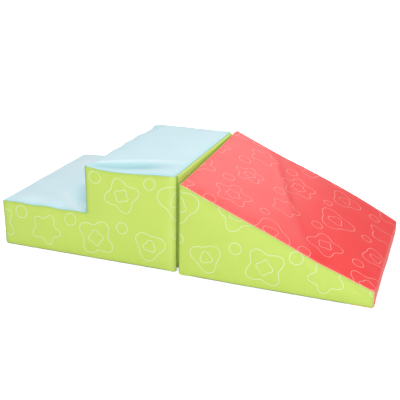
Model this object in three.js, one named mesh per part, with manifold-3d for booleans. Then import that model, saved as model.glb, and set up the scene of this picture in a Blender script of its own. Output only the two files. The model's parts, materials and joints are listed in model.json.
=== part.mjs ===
// A toddler's foam climber: a two-step block and a wedge ramp, each a foam core in a sewn, zipped cover
import * as THREE from 'three';
import { mergeVertices } from 'three/addons/utils/BufferGeometryUtils.js';
import Module from 'manifold-3d';

const wasm = await Module();
wasm.setup();

// Outer sizes of the two blocks, in millimetres
const STEP_WIDTH = 460;
const STEP_LENGTH = 510;
const TREAD_DEPTH = 255;
const LOW_HEIGHT = 130;
const STEP_HEIGHT = 260;
const RAMP_WIDTH = 476;
const RAMP_LENGTH = 490;
const RAMP_HEIGHT = 253;
const TOE_HEIGHT = 43;

// How far the red cloth turns under the toe, the upright corners at the blocks' backs and the upper nose
const TOE_RETURN = 60;
const STEP_CORNER_RADIUS = 22;
const RAMP_CORNER_RADIUS = 8;
const NOSE_RADIUS = 16;
const NOSE_START = 30;

// Cover cloth, its sewn edges and the foam inside
const COVER = 1.6;
const SEAM_RADIUS = 6;
const SEAM_GAP = 0.3;
const FOAM_GAP = 0.5;
const BOND_GAP = 0.3;

// How the stuffed cover swells and settles
const SIDE_CROWN = 4;
const FRONT_CROWN = 3;
const RISER_CROWN = 3;
const LOW_CROWN = 4;
const LOW_FAR_RISE = 8;
const TOP_CROWN = 4;
const NEAR_SAG = 8;
const NEAR_SAG_REACH = 140;
const SLOPE_CROWN = 7;
const SLOPE_SAG = 5;
const SLOPE_RISE = 7;
const RIDGE_TILT = 6;
const TOE_CROWN = 1.5;

// The strips that hold the two backs together
const STRIP_WIDTH = 40;
const STRIP_LENGTH = 170;
const STRIP_HEIGHT = 1.75;
const STRIP_SPACING = 250;
const STRIP_MIDDLE = 130;
const STRIP_CORNER = 6;
const CLEARANCE = 0.3;

// The zip along the lower back edge of each cover
const ZIP_CUT = 18;
const ZIP_ROOM = 6;
const ZIP_END = 26;
const TAPE = 0.8;
const TAPE_SLOT = 0.9;
const TOOTH_PITCH = 5;
const TOOTH_LENGTH = 3.2;
const TOOTH_WIDTH = 2;
const TOOTH_HEIGHT = 1.6;
const TOOTH_SLOT = 0.7;
const CORD_WIDTH = 1.1;
const STOP_LENGTH = 3;
const SLIDER_LENGTH = 11;
const SLIDER_PLATE = 1;
const SLIDER_POST = 0.8;
const SLIDER_WALL = 0.9;
const SLIDER_PLACE = 3.8;
const BRIDGE_WIDTH = 2;
const BRIDGE_THICK = 1;
const BRIDGE_OPENING = 2.4;
const BRIDGE_LENGTH = 7.4;
const PULL_BAR = 1.2;
const PULL_WINDOW = 4.6;
const PULL_SIDE = 1.4;
const PULL_LENGTH = 13;

// The grid that the soft pieces are drawn on
const FACET = 62;
const MARGIN_SHARES = [0.5, 1];
const ARC_STEPS = 3;
const TIE = SEAM_GAP / 1000;

const STEP_HALF = STEP_WIDTH / 2;
const RAMP_HALF = RAMP_WIDTH / 2;
const CORE_DEPTH = COVER + FOAM_GAP;
const JOINT_GAP = 2 * (CLEARANCE + STRIP_HEIGHT) + CLEARANCE;

const LIME = { color: 0xc8e06e, roughness: 0.6, metalness: 0 };
const SKY = { color: 0xd0ecf4, roughness: 0.6, metalness: 0 };
const CORAL = { color: 0xfa7f7c, roughness: 0.55, metalness: 0 };
const FOAM = { color: 0xf2ead2, roughness: 0.95, metalness: 0 };
const BASE_CLOTH = { color: 0x4a4e52, roughness: 0.9, metalness: 0 };
const HOOK_CLOTH = { color: 0xe8e8e4, roughness: 0.95, metalness: 0 };
const ZIP_CLOTH = { color: 0xb8cf68, roughness: 0.85, metalness: 0 };
const ZIP_PLASTIC = { color: 0xd9e3a0, roughness: 0.4, metalness: 0 };
const ZIP_METAL = { color: 0xb9bdc0, roughness: 0.35, metalness: 0.9 };

const clamp = (value, low, high) => Math.min(Math.max(value, low), high);
const share = (value) => clamp(value, 0, 1);
const arch = (value) => 4 * share(value) * (1 - share(value));
// A hump that is 1 at a third of the way along, and its mirror image
const earlyHump = (value) => 6.75 * share(value) * (1 - share(value)) ** 2;
const lateHump = (value) => earlyHump(1 - value);

// Even lines between two values, both ends left out
function between(start, end) {
  const count = Math.max(2, 2 * Math.round(Math.abs(end - start) / FACET / 2));
  return Array.from({ length: count - 1 }, (_, i) => start + ((end - start) * (i + 1)) / count);
}

// Lines beside a sewn edge, which stops short of the corner by the seam gap
function seam(edge, inward) {
  return [SEAM_GAP, ...MARGIN_SHARES.map((part) => part * SEAM_RADIUS)].map((d) => edge + inward * d);
}

// Distances from a fold in one piece of cloth, out to the radius that it is rounded to
function foldOffsets(radius) {
  const offsets = MARGIN_SHARES.map((part) => part * SEAM_RADIUS);
  return radius > SEAM_RADIUS ? [...offsets, radius] : offsets;
}

// Lines on both sides of such a fold
function fold(edge, radius) {
  const offsets = foldOffsets(radius);
  return [...offsets.toReversed().map((d) => edge - d), edge, ...offsets.map((d) => edge + d)];
}

// Lines from a low sewn edge to a high one
function seamed(low, high) {
  const [first, last] = [seam(low, 1), seam(high, -1).toReversed()];
  return [...first, ...between(first.at(-1), last[0]), ...last];
}

// Distances at even angles round a back corner of this radius, and its end
function cornerLines(radius) {
  const turn = Math.PI / 4 / ARC_STEPS;
  const lines = Array.from({ length: ARC_STEPS }, (_, i) => radius * Math.tan(turn * i));
  return [...lines, radius];
}

// Lines beside a sewn edge that ends at a rounded back corner
function cornerSeam(radius) {
  return [...seam(0, 1), ...cornerLines(radius).filter((line) => line > SEAM_RADIUS)];
}

// Lines across a block's full width, from what lies beside each side
function across(edgeLines, half) {
  const near = edgeLines.map((line) => line - half);
  const far = near.toReversed().map((y) => -y);
  return [...near, ...between(near.at(-1), far[0]), ...far];
}

// An outline drawn in from its edges; the outline runs clockwise with depth to the right and height up
function inset(outline, distance) {
  const count = outline.length;
  return outline.map((corner, i) => {
    const before = edgeNormal(outline[(i + count - 1) % count], corner);
    const after = edgeNormal(corner, outline[(i + 1) % count]);
    const grow = distance / (1 + before[0] * after[0] + before[1] * after[1]);
    return [corner[0] + grow * (before[0] + after[0]), corner[1] + grow * (before[1] + after[1])];
  });
}

function edgeNormal(from, to) {
  const [run, rise] = [to[0] - from[0], to[1] - from[1]];
  const length = Math.hypot(run, rise);
  return [rise / length, -run / length];
}

function isInside(outline, [b, z]) {
  let inside = false;
  outline.forEach((from, i) => {
    const to = outline[(i + 1) % outline.length];
    const crosses = from[1] > z !== to[1] > z;
    if (crosses && b < from[0] + ((to[0] - from[0]) * (z - from[1])) / (to[1] - from[1])) {
      inside = !inside;
    }
  });
  return inside;
}

// The point of an outline's area that lies nearest to a point of its plane
function nearest(outline, point) {
  if (isInside(outline, point)) {
    return point;
  }
  let best = { far: Infinity };
  outline.forEach((from, i) => {
    const to = outline[(i + 1) % outline.length];
    const [run, rise] = [to[0] - from[0], to[1] - from[1]];
    const along = (point[0] - from[0]) * run + (point[1] - from[1]) * rise;
    const portion = share(along / (run * run + rise * rise));
    const spot = [from[0] + portion * run, from[1] + portion * rise];
    const far = Math.hypot(point[0] - spot[0], point[1] - spot[1]);
    if (far < best.far + TIE) {
      best = { far, spot };
    }
  });
  return best.spot;
}

const STEP_SHAPE = { half: STEP_HALF, cornerRadius: STEP_CORNER_RADIUS, direction: -1, settle: settleSteps };
const RAMP_SHAPE = { half: RAMP_HALF, cornerRadius: RAMP_CORNER_RADIUS, direction: 1, settle: settleRamp };

// A block of one of these shapes, from its side outline (depth from the back, height)
function makeBlock(outline, shape) {
  return { ...shape, heart: inset(outline, SEAM_RADIUS) };
}

// A place on the sharp block, moved to the rounded surface that has this seam radius
function roundEdges(block, [b, y, z], radius) {
  const [heartB, heartZ] = nearest(block.heart, [b, z]);
  const heartY = clamp(y, SEAM_RADIUS - block.half, block.half - SEAM_RADIUS);
  const away = [b - heartB, y - heartY, z - heartZ];
  const atBack = away[0] < 0;
  const level = atBack ? Math.max(-away[0], Math.abs(away[1])) : Math.hypot(away[0], away[1]);
  const length = Math.hypot(level, away[2]);
  const scale = length > 0 ? radius / length : 0;
  return [heartB + away[0] * scale, heartY + away[1] * scale, heartZ + away[2] * scale];
}

// The upright corners at the back follow a round of their own
function roundCorners(block, [b, y, z]) {
  const radius = block.cornerRadius;
  const straight = block.half - radius;
  const [inB, inY] = pulledIn(radius - b, Math.abs(y) - straight);
  return [radius - inB, Math.sign(y) * (straight + inY), z];
}

// Distances from the start of a square corner, moved on to the round one
function pulledIn(one, other) {
  if (one <= 0 || other <= 0) {
    return [one, other];
  }
  const pull = Math.max(one, other) / Math.hypot(one, other);
  return [one * pull, other * pull];
}

function place(block, point, radius) {
  const [b, y, z] = block.settle(roundCorners(block, roundEdges(block, point, radius)));
  return [block.direction * b, y, z];
}

// The upper tread's front edge is fuller between the sides, where no seam holds it
function roundNose([b, y, z]) {
  const radius = NOSE_RADIUS * share((STEP_HALF - Math.abs(y)) / NOSE_START);
  const [startB, startZ] = [TREAD_DEPTH - radius, STEP_HEIGHT - radius];
  const [inB, inZ] = pulledIn(b - startB, z - startZ);
  return [startB + inB, y, startZ + inZ];
}

// Steps: swollen sides and treads, with a slump along the near edge of the upper tread
function settleSteps(point) {
  const [b, y, z] = roundNose(point);
  const across = (y + STEP_HALF) / STEP_WIDTH;
  const low = arch(b / STEP_LENGTH) * arch(z / LOW_HEIGHT);
  const high = arch(b / TREAD_DEPTH) * arch(z / STEP_HEIGHT);
  const swell = low + high - low * high;
  const climb = share((z - LOW_HEIGHT) / (STEP_HEIGHT - LOW_HEIGHT));
  const forward = share((b - TREAD_DEPTH) / (STEP_LENGTH - TREAD_DEPTH));
  const front = FRONT_CROWN * arch(z / LOW_HEIGHT) * forward;
  const riser = RISER_CROWN * arch(climb) * share(b / TREAD_DEPTH);
  const lowRise = (LOW_CROWN * arch(across) + LOW_FAR_RISE * share(across) ** 2) * arch(forward);
  const topRise = TOP_CROWN * arch(b / TREAD_DEPTH) * arch(across);
  const reach = share(1 - (y + STEP_HALF) / NEAR_SAG_REACH);
  const slump = NEAR_SAG * earlyHump(1 - b / TREAD_DEPTH) * reach ** 2;
  return [
    b + (front + riser) * arch(across),
    y * (1 + (SIDE_CROWN * swell) / STEP_HALF),
    z + lowRise * share(z / LOW_HEIGHT) + (topRise - slump) * climb,
  ];
}

const rampTop = (b) => RAMP_HEIGHT + ((TOE_HEIGHT - RAMP_HEIGHT) * b) / RAMP_LENGTH;

// Ramp: swollen sides and slope, the near edge hollow, the far edge full towards the toe, the ridge tilted
function settleRamp([b, y, z]) {
  const across = (y + RAMP_HALF) / RAMP_WIDTH;
  const down = b / RAMP_LENGTH;
  const climb = share(z / rampTop(b));
  const swell = arch(down) * arch(climb);
  const crown = SLOPE_CROWN * lateHump(down) * arch(across);
  const edges = SLOPE_RISE * lateHump(down) * share(across) ** 2 - SLOPE_SAG * arch(down) * (1 - across);
  const tilt = ((RIDGE_TILT * y) / RAMP_HALF) * share(1 - down);
  return [
    b + TOE_CROWN * arch(z / TOE_HEIGHT) * share(down) * arch(across),
    y * (1 + (SIDE_CROWN * swell) / RAMP_HALF),
    z + (crown + edges + tilt) * climb,
  ];
}

// The closed solid of every kept cell of a grid whose points a function places in space
function gridSolid(cells, keep, placePoint) {
  const positions = [];
  const index = [];
  const known = new Map();
  const vertex = (at) => {
    const key = at.join();
    if (!known.has(key)) {
      known.set(key, positions.length / 3);
      positions.push(...placePoint(...at));
    }
    return known.get(key);
  };
  const isKept = (at) => at.every((n, axis) => n >= 0 && n < cells[axis]) && keep(...at);
  for (let i = 0; i < cells[0]; i += 1) {
    for (let j = 0; j < cells[1]; j += 1) {
      for (let k = 0; k < cells[2]; k += 1) {
        if (isKept([i, j, k])) {
          for (const side of openSides([i, j, k], isKept)) {
            index.push(...twoTriangles(side.map(vertex), positions));
          }
        }
      }
    }
  }
  return closedGeometry(positions, index);
}

// The corners of each side of a cell that has no kept neighbour, seen from outside
function openSides(cell, isKept) {
  const turns = [[0, 0], [1, 0], [1, 1], [0, 1]];
  const step = (from, axis, by) => from.with(axis, from[axis] + by);
  const sides = [];
  for (let axis = 0; axis < 3; axis += 1) {
    const [second, third] = [(axis + 1) % 3, (axis + 2) % 3];
    for (const side of [0, 1]) {
      const quad = turns.map(([s, t]) => step(step(step(cell, axis, side), second, s), third, t));
      if (!isKept(step(cell, axis, 2 * side - 1))) {
        sides.push(side ? quad : quad.toReversed());
      }
    }
  }
  return sides;
}

// A four-sided face is folded along the diagonal that lies farther out, alike on cloth and foam
function twoTriangles([a, b, c, d], positions) {
  const farOut = (from, to) => {
    const sum = [0, 1, 2].map((n) => positions[3 * from + n] + positions[3 * to + n]);
    return Math.hypot(...sum);
  };
  return farOut(a, c) > farOut(b, d) ? [a, b, c, a, c, d] : [a, b, d, b, c, d];
}

// A geometry whose faces point out, whichever way its grid was placed
function closedGeometry(positions, index) {
  const geometry = new THREE.BufferGeometry();
  geometry.setAttribute('position', new THREE.Float32BufferAttribute(positions, 3));
  const corners = index.map((n) => new THREE.Vector3().fromArray(positions, 3 * n));
  let volume = 0;
  for (let i = 0; i < corners.length; i += 3) {
    volume += corners[i].dot(corners[i + 1].clone().cross(corners[i + 2]));
  }
  geometry.setIndex(volume > 0 ? index : index.toReversed());
  geometry.computeVertexNormals();
  return geometry;
}

function part(name, geometry, look) {
  const mesh = new THREE.Mesh(geometry, new THREE.MeshStandardMaterial(look));
  mesh.name = name;
  return mesh;
}

// A sheet of cloth on the block's surface; spot gives the sharp block's place for a line and a row
function sheet(block, lines, rows, spot, thickness, keep = () => true) {
  const layers = [SEAM_RADIUS - thickness, SEAM_RADIUS];
  const cells = [lines.length - 1, rows.length - 1, 1];
  return gridSolid(cells, keep, (i, j, k) => place(block, spot(lines[i], rows[j]), layers[k]));
}

// Where a distance along an open outline falls
function follow(points, distance) {
  let left = distance;
  for (let i = 1; i < points.length; i += 1) {
    const [from, to] = [points[i - 1], points[i]];
    const length = Math.hypot(to[0] - from[0], to[1] - from[1]);
    if (left <= length || i === points.length - 1) {
      const portion = left / length;
      return [from[0] + portion * (to[0] - from[0]), from[1] + portion * (to[1] - from[1])];
    }
    left -= length;
  }
  return points.at(-1);
}

// A panel that runs across the block's full width and follows a path over its outline
function crossPanel(block, path, { foldRadius = SEAM_RADIUS, endLines = seam(0, 1) } = {}) {
  const lengths = path.slice(1).map((to, i) => Math.hypot(to[0] - path[i][0], to[1] - path[i][1]));
  const ends = lengths.map((_, i) => lengths.slice(0, i + 1).reduce((sum, length) => sum + length, 0));
  const lines = seam(0, 1);
  for (const corner of ends.slice(0, -1)) {
    lines.push(...between(lines.at(-1), corner - foldRadius), ...fold(corner, foldRadius));
  }
  const last = endLines.toReversed().map((line) => ends.at(-1) - line);
  lines.push(...between(lines.at(-1), last[0]), ...last);
  const spot = (distance, y) => {
    const [b, z] = follow(path, distance);
    return [b, y, z];
  };
  return sheet(block, lines, across(cornerSeam(block.cornerRadius), block.half), spot, COVER);
}

// The cloth under a block, between the zip and the front seam
function basePanel(block, front) {
  const middle = (ZIP_CUT + front) / 2;
  const lines = [...seam(ZIP_CUT, 1), middle, ...seam(front, -1).toReversed()];
  const rows = [...seam(-block.half, 1), 0, ...seam(block.half, -1).toReversed()];
  return sheet(block, lines, rows, (b, y) => [b, y, 0], COVER);
}

// Places round the near side, the back and the far side, from depth lines given from the front
function bandStations(block, depths) {
  const back = across(cornerLines(block.cornerRadius), block.half).slice(1, -1);
  return [
    ...depths.map((b) => [b, -block.half]),
    ...back.map((y) => [0, y]),
    ...depths.toReversed().map((b) => [b, block.half]),
  ];
}

// Depth lines near the back, where the zip's edge rises and the upright corner turns
function backDepths(block) {
  return [ZIP_CUT, ...cornerLines(block.cornerRadius)].toSorted((a, b) => b - a);
}

const bandFoot = (b) => clamp(ZIP_CUT - b, 0, ZIP_CUT);

// The step block's lime band: near side, back and far side in one length of cloth
function stepBand(block) {
  const tops = backDepths(block);
  const front = seam(STEP_LENGTH, -1);
  const nose = [...seam(TREAD_DEPTH, -1), TREAD_DEPTH - NOSE_RADIUS];
  const depths = [
    ...front, ...between(front.at(-1), nose[0]), ...nose, ...between(nose.at(-1), tops[0]), ...tops,
  ];
  const upper = [...seam(STEP_HEIGHT, -1), STEP_HEIGHT - NOSE_RADIUS].toReversed();
  const aboveTread = seam(LOW_HEIGHT, 1);
  const rows = [
    ...seamed(0, LOW_HEIGHT), ...aboveTread, ...between(aboveTread.at(-1), upper[0]), ...upper,
  ];
  const stations = bandStations(block, depths);
  const spot = ([b, y], z) => {
    const foot = bandFoot(b) * (1 - share(z / LOW_HEIGHT));
    return [b, y, z + foot];
  };
  const keep = (i, j) => {
    const overLowTread = Math.max(stations[i][0], stations[i + 1][0]) > nose[0];
    return !overLowTread || rows[j + 1] < LOW_HEIGHT;
  };
  return sheet(block, stations, rows, spot, COVER, keep);
}

// Rows of the ramp's side, each a portion of its height there plus a fixed offset
function rampRows() {
  const low = seam(0, 1);
  const lean = Math.hypot(RAMP_LENGTH, RAMP_HEIGHT - TOE_HEIGHT) / RAMP_LENGTH;
  const high = seam(0, -lean).toReversed();
  const portions = between(0, RAMP_HEIGHT).map((z) => z / RAMP_HEIGHT);
  return [
    ...low.map((offset) => ({ portion: 0, offset })),
    ...portions.map((portion) => ({ portion, offset: SEAM_RADIUS * (1 - 2 * portion) })),
    ...high.map((offset) => ({ portion: 1, offset })),
  ];
}

// The ramp's lime band
function rampBand(block) {
  const tops = backDepths(block);
  const front = seam(RAMP_LENGTH, -1);
  const depths = [...front, ...between(front.at(-1), tops[0]), ...tops];
  const spot = ([b, y], row) => {
    const foot = bandFoot(b);
    return [b, y, foot + row.portion * (rampTop(b) - foot) + row.offset];
  };
  return sheet(block, bandStations(block, depths), rampRows(), spot, COVER);
}

// Foam cut to an outline, a cloth's thickness and a little play inside the cover
function foam(block, depths, heights, heightAt = (b, z) => z) {
  const rows = across(foamCorner(block.cornerRadius), block.half);
  const radius = SEAM_RADIUS - CORE_DEPTH;
  const cells = [depths.length - 1, rows.length - 1, heights.length - 1];
  const spot = (i, j, k) => [depths[i], rows[j], heightAt(depths[i], heights[k])];
  return gridSolid(cells, () => true, (i, j, k) => place(block, spot(i, j, k), radius));
}

function edged(low, high) {
  const [first, last] = [low + SEAM_RADIUS, high - SEAM_RADIUS];
  return [low, first, ...between(first, last), last, high];
}

const CORE_CUT = ZIP_CUT + ZIP_ROOM;

// Distances round a back corner of the foam
const foamCorner = (radius) => [0, radius * Math.tan(Math.PI / 8), radius];

// The foam's lower back edge is cut off to leave room behind the zip
const foamFoot = (b) => clamp(CORE_CUT - b, 0, CORE_CUT);

// The lower slab of the step block runs its full length
function stepSlab() {
  const outline = [
    [0, CORE_CUT], [0, LOW_HEIGHT], [STEP_LENGTH, LOW_HEIGHT], [STEP_LENGTH, 0], [CORE_CUT, 0],
  ];
  const block = makeBlock(outline, STEP_SHAPE);
  const [nose, toe] = [TREAD_DEPTH - SEAM_RADIUS, STEP_LENGTH - SEAM_RADIUS];
  const back = [...foamCorner(STEP_CORNER_RADIUS), CORE_CUT, ...between(STEP_CORNER_RADIUS, nose)];
  const front = [TREAD_DEPTH, ...between(TREAD_DEPTH, toe), toe, STEP_LENGTH];
  const heightAt = (b, z) => z + foamFoot(b) * (1 - share(z / LOW_HEIGHT));
  return foam(block, [...back, nose, ...front], edged(0, LOW_HEIGHT), heightAt);
}

// The upper block stands on the slab's back half
function stepTopFoam() {
  const seat = LOW_HEIGHT - CORE_DEPTH + BOND_GAP;
  const below = seat - 2 * SEAM_RADIUS;
  const outline = [[0, below], [0, STEP_HEIGHT], [TREAD_DEPTH, STEP_HEIGHT], [TREAD_DEPTH, below]];
  const block = makeBlock(outline, STEP_SHAPE);
  const nose = [NOSE_RADIUS, SEAM_RADIUS, 0];
  const corner = foamCorner(STEP_CORNER_RADIUS);
  const [lastDepth, lastHeight] = [TREAD_DEPTH - NOSE_RADIUS, STEP_HEIGHT - NOSE_RADIUS];
  const depths = [...corner, ...between(corner.at(-1), lastDepth), ...nose.map((d) => TREAD_DEPTH - d)];
  const middle = between(LOW_HEIGHT + SEAM_RADIUS, lastHeight);
  return foam(block, depths, [seat, ...middle, ...nose.map((d) => STEP_HEIGHT - d)]);
}

// The ramp's foam is one wedge
function rampFoam() {
  const outline = [
    [0, CORE_CUT], [0, RAMP_HEIGHT], [RAMP_LENGTH, TOE_HEIGHT], [RAMP_LENGTH, 0], [CORE_CUT, 0],
  ];
  const block = makeBlock(outline, RAMP_SHAPE);
  const toe = RAMP_LENGTH - SEAM_RADIUS;
  const back = [...foamCorner(RAMP_CORNER_RADIUS), CORE_CUT];
  const rise = edged(0, RAMP_HEIGHT).map((z) => z / RAMP_HEIGHT);
  const heightAt = (b, portion) => foamFoot(b) + portion * (rampTop(b) - foamFoot(b));
  return foam(block, [...back, ...between(CORE_CUT, toe), toe, RAMP_LENGTH], rise, heightAt);
}

// A flat strip of hook or loop tape on a block's back
function strip(direction, y) {
  const [wide, high] = [STRIP_WIDTH / 2, STRIP_LENGTH / 2];
  const shape = new THREE.Shape();
  shape.moveTo(-wide + STRIP_CORNER, -high);
  shape.lineTo(wide - STRIP_CORNER, -high);
  shape.absarc(wide - STRIP_CORNER, -high + STRIP_CORNER, STRIP_CORNER, -Math.PI / 2, 0);
  shape.absarc(wide - STRIP_CORNER, high - STRIP_CORNER, STRIP_CORNER, 0, Math.PI / 2);
  shape.absarc(-wide + STRIP_CORNER, high - STRIP_CORNER, STRIP_CORNER, Math.PI / 2, Math.PI);
  shape.absarc(-wide + STRIP_CORNER, -high + STRIP_CORNER, STRIP_CORNER, Math.PI, 1.5 * Math.PI);
  const geometry = new THREE.ExtrudeGeometry(shape, {
    depth: STRIP_HEIGHT, bevelEnabled: false, curveSegments: ARC_STEPS,
  });
  geometry.rotateX(Math.PI / 2);
  geometry.rotateZ((-direction * Math.PI) / 2);
  geometry.translate(-direction * CLEARANCE, y, STRIP_MIDDLE);
  return geometry;
}

// Half of the zip's tape, between two distances down the cut-off lower back edge
function tape(block, start, end) {
  const path = [[0, ZIP_CUT], [ZIP_CUT, 0]];
  const spot = (distance, y) => {
    const [b, z] = follow(path, distance);
    return [b, y, z];
  };
  const rows = across(cornerSeam(block.cornerRadius), block.half);
  return sheet(block, [start, end], rows, spot, TAPE);
}

// One side of the chain: teeth moulded on a cord, on the outer face of the tape beside the slot
function teeth(side, half) {
  const count = Math.floor((2 * (half - ZIP_END)) / TOOTH_PITCH);
  const [tip, root] = [TOOTH_SLOT, TOOTH_SLOT + TOOTH_LENGTH - CORD_WIDTH];
  const start = (-count * TOOTH_PITCH) / 2 + TOOTH_PITCH / 4;
  const comb = new THREE.Shape();
  comb.moveTo(root + CORD_WIDTH, start + count * TOOTH_PITCH);
  comb.lineTo(root + CORD_WIDTH, start);
  for (let i = 0; i < count; i += 1) {
    const y = start + i * TOOTH_PITCH + (TOOTH_PITCH - TOOTH_WIDTH) / 2;
    comb.lineTo(root, y);
    comb.lineTo(tip, y);
    comb.lineTo(tip, y + TOOTH_WIDTH);
    comb.lineTo(root, y + TOOTH_WIDTH);
  }
  const geometry = new THREE.ExtrudeGeometry(comb, { depth: TOOTH_HEIGHT, bevelEnabled: false });
  geometry.translate(0, 0, CLEARANCE);
  return side > 0 ? geometry : geometry.rotateZ(Math.PI);
}

const TEETH_TOP = CLEARANCE + TOOTH_HEIGHT;
const CHAIN_HALF = TOOTH_SLOT + TOOTH_LENGTH;

// The stop across the end of the chain
function stop(side, half) {
  const y = side * (half - ZIP_END + TOOTH_PITCH / 2 + STOP_LENGTH / 2);
  const box = new THREE.BoxGeometry(2 * CHAIN_HALF, STOP_LENGTH, TOOTH_HEIGHT);
  return box.translate(0, y, CLEARANCE + TOOTH_HEIGHT / 2);
}

function solid(geometry) {
  const bare = geometry.clone();
  bare.deleteAttribute('normal');
  bare.deleteAttribute('uv');
  const merged = mergeVertices(bare);
  const vertProperties = new Float32Array(merged.attributes.position.array);
  const triVerts = new Uint32Array(merged.index.array);
  return new wasm.Manifold(new wasm.Mesh({ numProp: 3, vertProperties, triVerts }));
}

function fromSolid(result) {
  const mesh = result.getMesh();
  const geometry = new THREE.BufferGeometry();
  geometry.setAttribute('position', new THREE.BufferAttribute(mesh.vertProperties, 3));
  geometry.setIndex(new THREE.BufferAttribute(mesh.triVerts, 1));
  geometry.computeVertexNormals();
  return geometry;
}

// A box from its ranges along the zip's three directions
function boxOf([x0, x1], [y0, y1], [z0, z1]) {
  const box = new THREE.BoxGeometry(x1 - x0, y1 - y0, z1 - z0);
  return box.translate((x0 + x1) / 2, (y0 + y1) / 2, (z0 + z1) / 2);
}

const SLIDER_HALF = CHAIN_HALF + CLEARANCE + SLIDER_WALL;
const PLATE_FOOT = TEETH_TOP + CLEARANCE;
const PLATE_TOP = PLATE_FOOT + SLIDER_PLATE;
const PIVOT_HEIGHT = PLATE_TOP + BRIDGE_OPENING / 2;

// The slider: a waisted top plate with side walls, a lower plate, the wedge between and the pull's bridge
function slider() {
  const [length, half] = [SLIDER_LENGTH / 2, SLIDER_HALF];
  const outline = new THREE.Shape();
  outline.moveTo(-half, -length);
  outline.lineTo(half, -length);
  outline.quadraticCurveTo(half - SLIDER_WALL / 2, 0, half, length);
  outline.lineTo(-half, length);
  outline.quadraticCurveTo(-half + SLIDER_WALL / 2, 0, -half, -length);
  const options = { depth: SLIDER_PLATE, bevelEnabled: false, curveSegments: 2 * ARC_STEPS };
  const plate = new THREE.ExtrudeGeometry(outline, options);
  const underside = -TAPE - CLEARANCE - SLIDER_PLATE;
  const top = solid(plate.clone().translate(0, 0, PLATE_FOOT));
  const bottom = solid(plate.clone().translate(0, 0, underside));
  const post = [-SLIDER_POST / 2, SLIDER_POST / 2];
  const overlap = SLIDER_PLATE / 2;
  const wedge = solid(boxOf(post, [-length, 0], [underside + overlap, PLATE_FOOT + overlap]));
  const walls = [-1, 1].map((side) => {
    const edges = [side * (half - SLIDER_WALL / 2), side * (half - SLIDER_WALL)].toSorted((a, b) => a - b);
    const low = CLEARANCE;
    return solid(boxOf(edges, [-length, length], [low, PLATE_FOOT + overlap]));
  });
  return fromSolid([bottom, wedge, ...walls, bridge()].reduce((sum, piece) => sum.add(piece), top));
}

// The bridge over the pull's bar, open across the zip
function bridge() {
  const wide = [-BRIDGE_WIDTH / 2, BRIDGE_WIDTH / 2];
  const end = BRIDGE_LENGTH / 2;
  const crown = PLATE_TOP + BRIDGE_OPENING + BRIDGE_THICK;
  const whole = solid(boxOf(wide, [-end, end], [PLATE_TOP - SLIDER_PLATE / 2, crown]));
  const open = [BRIDGE_THICK - end, end - BRIDGE_THICK];
  const hole = solid(boxOf([-BRIDGE_WIDTH, BRIDGE_WIDTH], open, [PLATE_TOP, PLATE_TOP + BRIDGE_OPENING]));
  return whole.subtract(hole);
}

// The pull: a flat tab with a window that the bridge stands in, drawn about its own pivot
function pull() {
  const bar = PULL_BAR / 2;
  const inner = BRIDGE_WIDTH / 2 + CLEARANCE;
  const outer = inner + PULL_SIDE;
  const shape = new THREE.Shape();
  shape.moveTo(-outer, -bar);
  shape.lineTo(outer, -bar);
  shape.lineTo(outer, PULL_LENGTH - outer);
  shape.absarc(0, PULL_LENGTH - outer, outer, 0, Math.PI);
  const window = new THREE.Path();
  window.moveTo(-inner, bar);
  window.lineTo(-inner, bar + PULL_WINDOW);
  window.lineTo(inner, bar + PULL_WINDOW);
  window.lineTo(inner, bar);
  shape.holes.push(window);
  const options = { depth: PULL_BAR, bevelEnabled: false, curveSegments: 3 * ARC_STEPS };
  return new THREE.ExtrudeGeometry(shape, options).translate(0, 0, -bar);
}

// The slider and its pull at the zip's closed end, the wedge towards the stop and the pull lying back
function sliderAndPull(name, end, half) {
  const group = new THREE.Group();
  const tab = part(`${name}_zip_pull`, pull(), ZIP_METAL);
  tab.position.z = PIVOT_HEIGHT;
  group.add(part(`${name}_zip_slider`, slider(), ZIP_METAL), tab);
  group.position.y = end * (half - ZIP_END - SLIDER_PLACE);
  group.rotation.z = end < 0 ? 0 : Math.PI;
  return group;
}

// The zip's chain, stops, slider and pull in a group that lies on the cut-off edge
function zip(name, { direction, half }) {
  const group = new THREE.Group();
  const [lower, upper] = direction < 0 ? [1, -1] : [-1, 1];
  group.add(
    part(`${name}_zip_teeth_upper`, teeth(upper, half), ZIP_PLASTIC),
    part(`${name}_zip_teeth_lower`, teeth(lower, half), ZIP_PLASTIC),
    part(`${name}_zip_stop_near`, stop(-1, half), ZIP_METAL),
    part(`${name}_zip_stop_far`, stop(1, half), ZIP_METAL),
    sliderAndPull(name, direction, half),
  );
  group.position.set((direction * ZIP_CUT) / 2, 0, ZIP_CUT / 2);
  group.rotation.y = -direction * 0.75 * Math.PI;
  return group;
}

function tapes(name, block) {
  const edge = Math.hypot(ZIP_CUT, ZIP_CUT);
  return [
    part(`${name}_zip_tape_upper`, tape(block, SEAM_GAP, edge / 2 - TAPE_SLOT), ZIP_CLOTH),
    part(`${name}_zip_tape_lower`, tape(block, edge / 2 + TAPE_SLOT, edge - SEAM_GAP), ZIP_CLOTH),
  ];
}

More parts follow.
